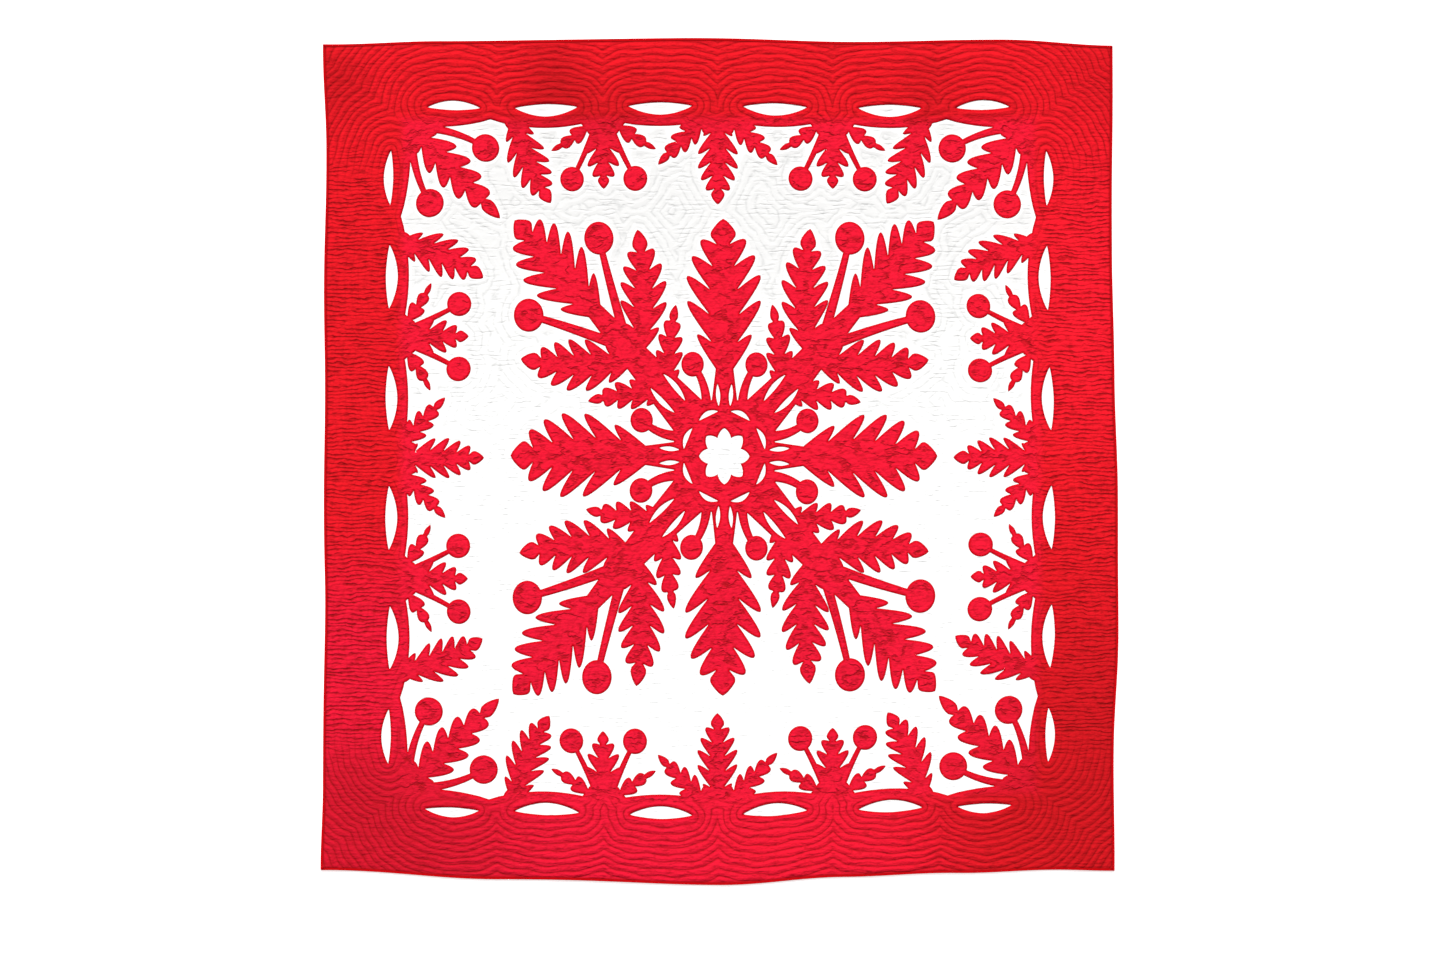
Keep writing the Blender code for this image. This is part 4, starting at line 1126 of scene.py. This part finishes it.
def white_cotton():
    """Quilted white cotton: faint painted shade in valleys and puckers, deeper with a cream tint near the
    top edge.

    Shade is the valleys and the puckers, each times a share that grows towards the top edge.
    """
    material, tree, shader = new_material("white_cotton_cloth", CLOTH_ROUGHNESS)
    at = object_place(tree)
    along = add_node(tree, "ShaderNodeSeparateXYZ", ((0, at),)).outputs["Y"]
    ridge = row_shape(tree, attribute_of(tree, "row"))
    patches = noise_at(tree, at, *PATCHES)
    clear = spread(tree, attribute_of(tree, "cut"), *WHITE_CLEAR)
    breaks = spread(tree, noise_at(tree, at, *WHITE_FINE), *WHITE_BREAKS)
    valley = product(tree, spread(tree, ridge, *WHITE_VALLEY), breaks)
    puckers = spread(tree, pucker_at(tree, at, *WHITE_PUCKERS), *WHITE_LINE)
    line = product(tree, puckers, spread(tree, patches, *WHITE_PATCHES))
    # Painted shade, with a faint cream tint, growing towards the top edge
    top_shade = product(tree, spread(tree, along, *TOP_SHADE_ALONG), clear)
    cloth = mix_colour(tree, top_shade, BRIGHT_WHITE, TOP_SHADE_WHITE)
    shares = (spread(tree, along, *VALLEY_ALONG), spread(tree, along, *LINE_ALONG))
    shade = product(tree, add_layers(tree, 0.0, (valley, line), shares), clear, clamp=True)
    layers = (line, patches, noise_at(tree, at, *WEAVE))
    normal = relief(tree, row_ridge(tree, ridge, WHITE_RIDGE), layers, WHITE_RELIEF)
    dress(tree, shader, mix_colour(tree, shade, cloth, SHADE_WHITE), normal)
    return material


def red_binding():
    """Smooth folded cotton strip: deeper red, domed by half a sine, painted shade on faint puckers and
    its inner edge.
    """
    material, tree, shader = new_material("red_binding_strip", BINDING_ROUGHNESS)
    at = object_place(tree)
    puckers = noise_at(tree, at, *BINDING_PUCKERS)
    inset = attribute_of(tree, "cut")
    # Painted shade on the puckers and a painted shadow line at the inner edge
    shade = product(tree, spread(tree, puckers, *BINDING_DARK), BINDING_SHADE)
    colour = mix_colour(tree, shade, BINDING_RED, LINE_SHADE_RED)
    colour = mix_colour(tree, spread(tree, inset, *BINDING_SHADOW_LINE), colour, LINE_SHADE_RED)
    dome = calculate(tree, "SINE", product(tree, inset, math.pi / BINDING_WIDTH))
    layers = (puckers, noise_at(tree, at, *WEAVE))
    normal = relief(tree, product(tree, dome, BINDING_DOME), layers, BINDING_RELIEF)
    dress(tree, shader, colour, normal)
    return material


def light_studio():
    """Soft sky, one soft sun from beyond the top edge, and a plain pale floor."""
    bpy.context.scene.view_settings.view_transform = "Standard"
    world = bpy.data.worlds.new("soft_studio")
    world.use_nodes = True
    sky = world.node_tree.nodes["Background"]
    sky.inputs["Color"].default_value = LIGHT_WHITE
    sky.inputs["Strength"].default_value = SKY_STRENGTH
    bpy.context.scene.world = world
    lamp = bpy.data.lights.new("top_light", "SUN")
    lamp.energy = SUN_STRENGTH
    lamp.angle = math.radians(SUN_SOFTNESS)
    sun = bpy.data.objects.new("top_light", lamp)
    sun.rotation_euler = (-math.radians(90.0 - SUN_ELEVATION), 0.0, math.radians(SUN_AZIMUTH))
    bpy.context.scene.collection.objects.link(sun)
    mesh = bpy.data.meshes.new("studio_floor")
    corners = [(x * FLOOR_HALF, y * FLOOR_HALF, 0.0) for x, y in ((-1, -1), (1, -1), (1, 1), (-1, 1))]
    mesh.from_pydata(corners, [], [(0, 1, 2, 3)])
    floor = bpy.data.objects.new("studio_floor", mesh)
    material, _, shader = new_material("pale_floor", CLOTH_ROUGHNESS)
    shader.inputs["Base Color"].default_value = FLOOR_WHITE
    shader.inputs["Emission Color"].default_value = LIGHT_WHITE
    shader.inputs["Emission Strength"].default_value = FLOOR_GLOW
    mesh.materials.append(material)
    bpy.context.scene.collection.objects.link(floor)


def set_camera():
    """Camera straight above, as far as its lens needs for the photo's width."""
    data = bpy.data.cameras.new("photo_camera")
    data.lens = CAMERA_LENS
    data.sensor_width = CAMERA_SENSOR
    camera = bpy.data.objects.new("photo_camera", data)
    away = PHOTO_WIDTH * PIXEL * CAMERA_LENS / CAMERA_SENSOR
    camera.location = (*CAMERA_AT, away)
    bpy.context.scene.collection.objects.link(camera)
    bpy.context.scene.camera = camera


def build():
    """Make the seven pieces, hide the model's parts that they stand for, and attach them to the root
    body.
    """
    border = outline_of(border_layers())
    medallion = outline_of(medallion_layers())
    outer = (rim_depth(border[0]) < OUTER_BAND) & (rim_depth(border[1]) < OUTER_BAND)
    cuts = [np.vstack([border[side][~outer], medallion[side]]) for side in (0, 1)]
    distances = DistanceMap(divided(*cuts, SEED_STEP)[0])
    red, white, dark = red_cotton(), white_cotton(), red_binding()
    ground = make_ground(*cuts, distances, white)
    leaf_border = make_applique("leaf_border", *border, distances, BORDER_SPACING, True, red)
    leaf_medallion = make_applique("leaf_medallion", *medallion, distances, MEDALLION_SPACING, False, red)
    bindings = []
    for side, along_y, sign in (("top", False, 1.0), ("bottom", False, -1.0), ("left", True, -1.0),
                                ("right", True, 1.0)):
        strip_piece = make_binding("folded_binding_" + side, along_y, sign, dark)
        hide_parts("binding_" + side)
        bindings.append(strip_piece)
    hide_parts("quilt_ground")
    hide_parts("border_applique")
    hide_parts("medallion_applique")
    for piece in (ground, leaf_border, leaf_medallion, *bindings):
        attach(piece, "root")


build()
light_studio()
set_camera()
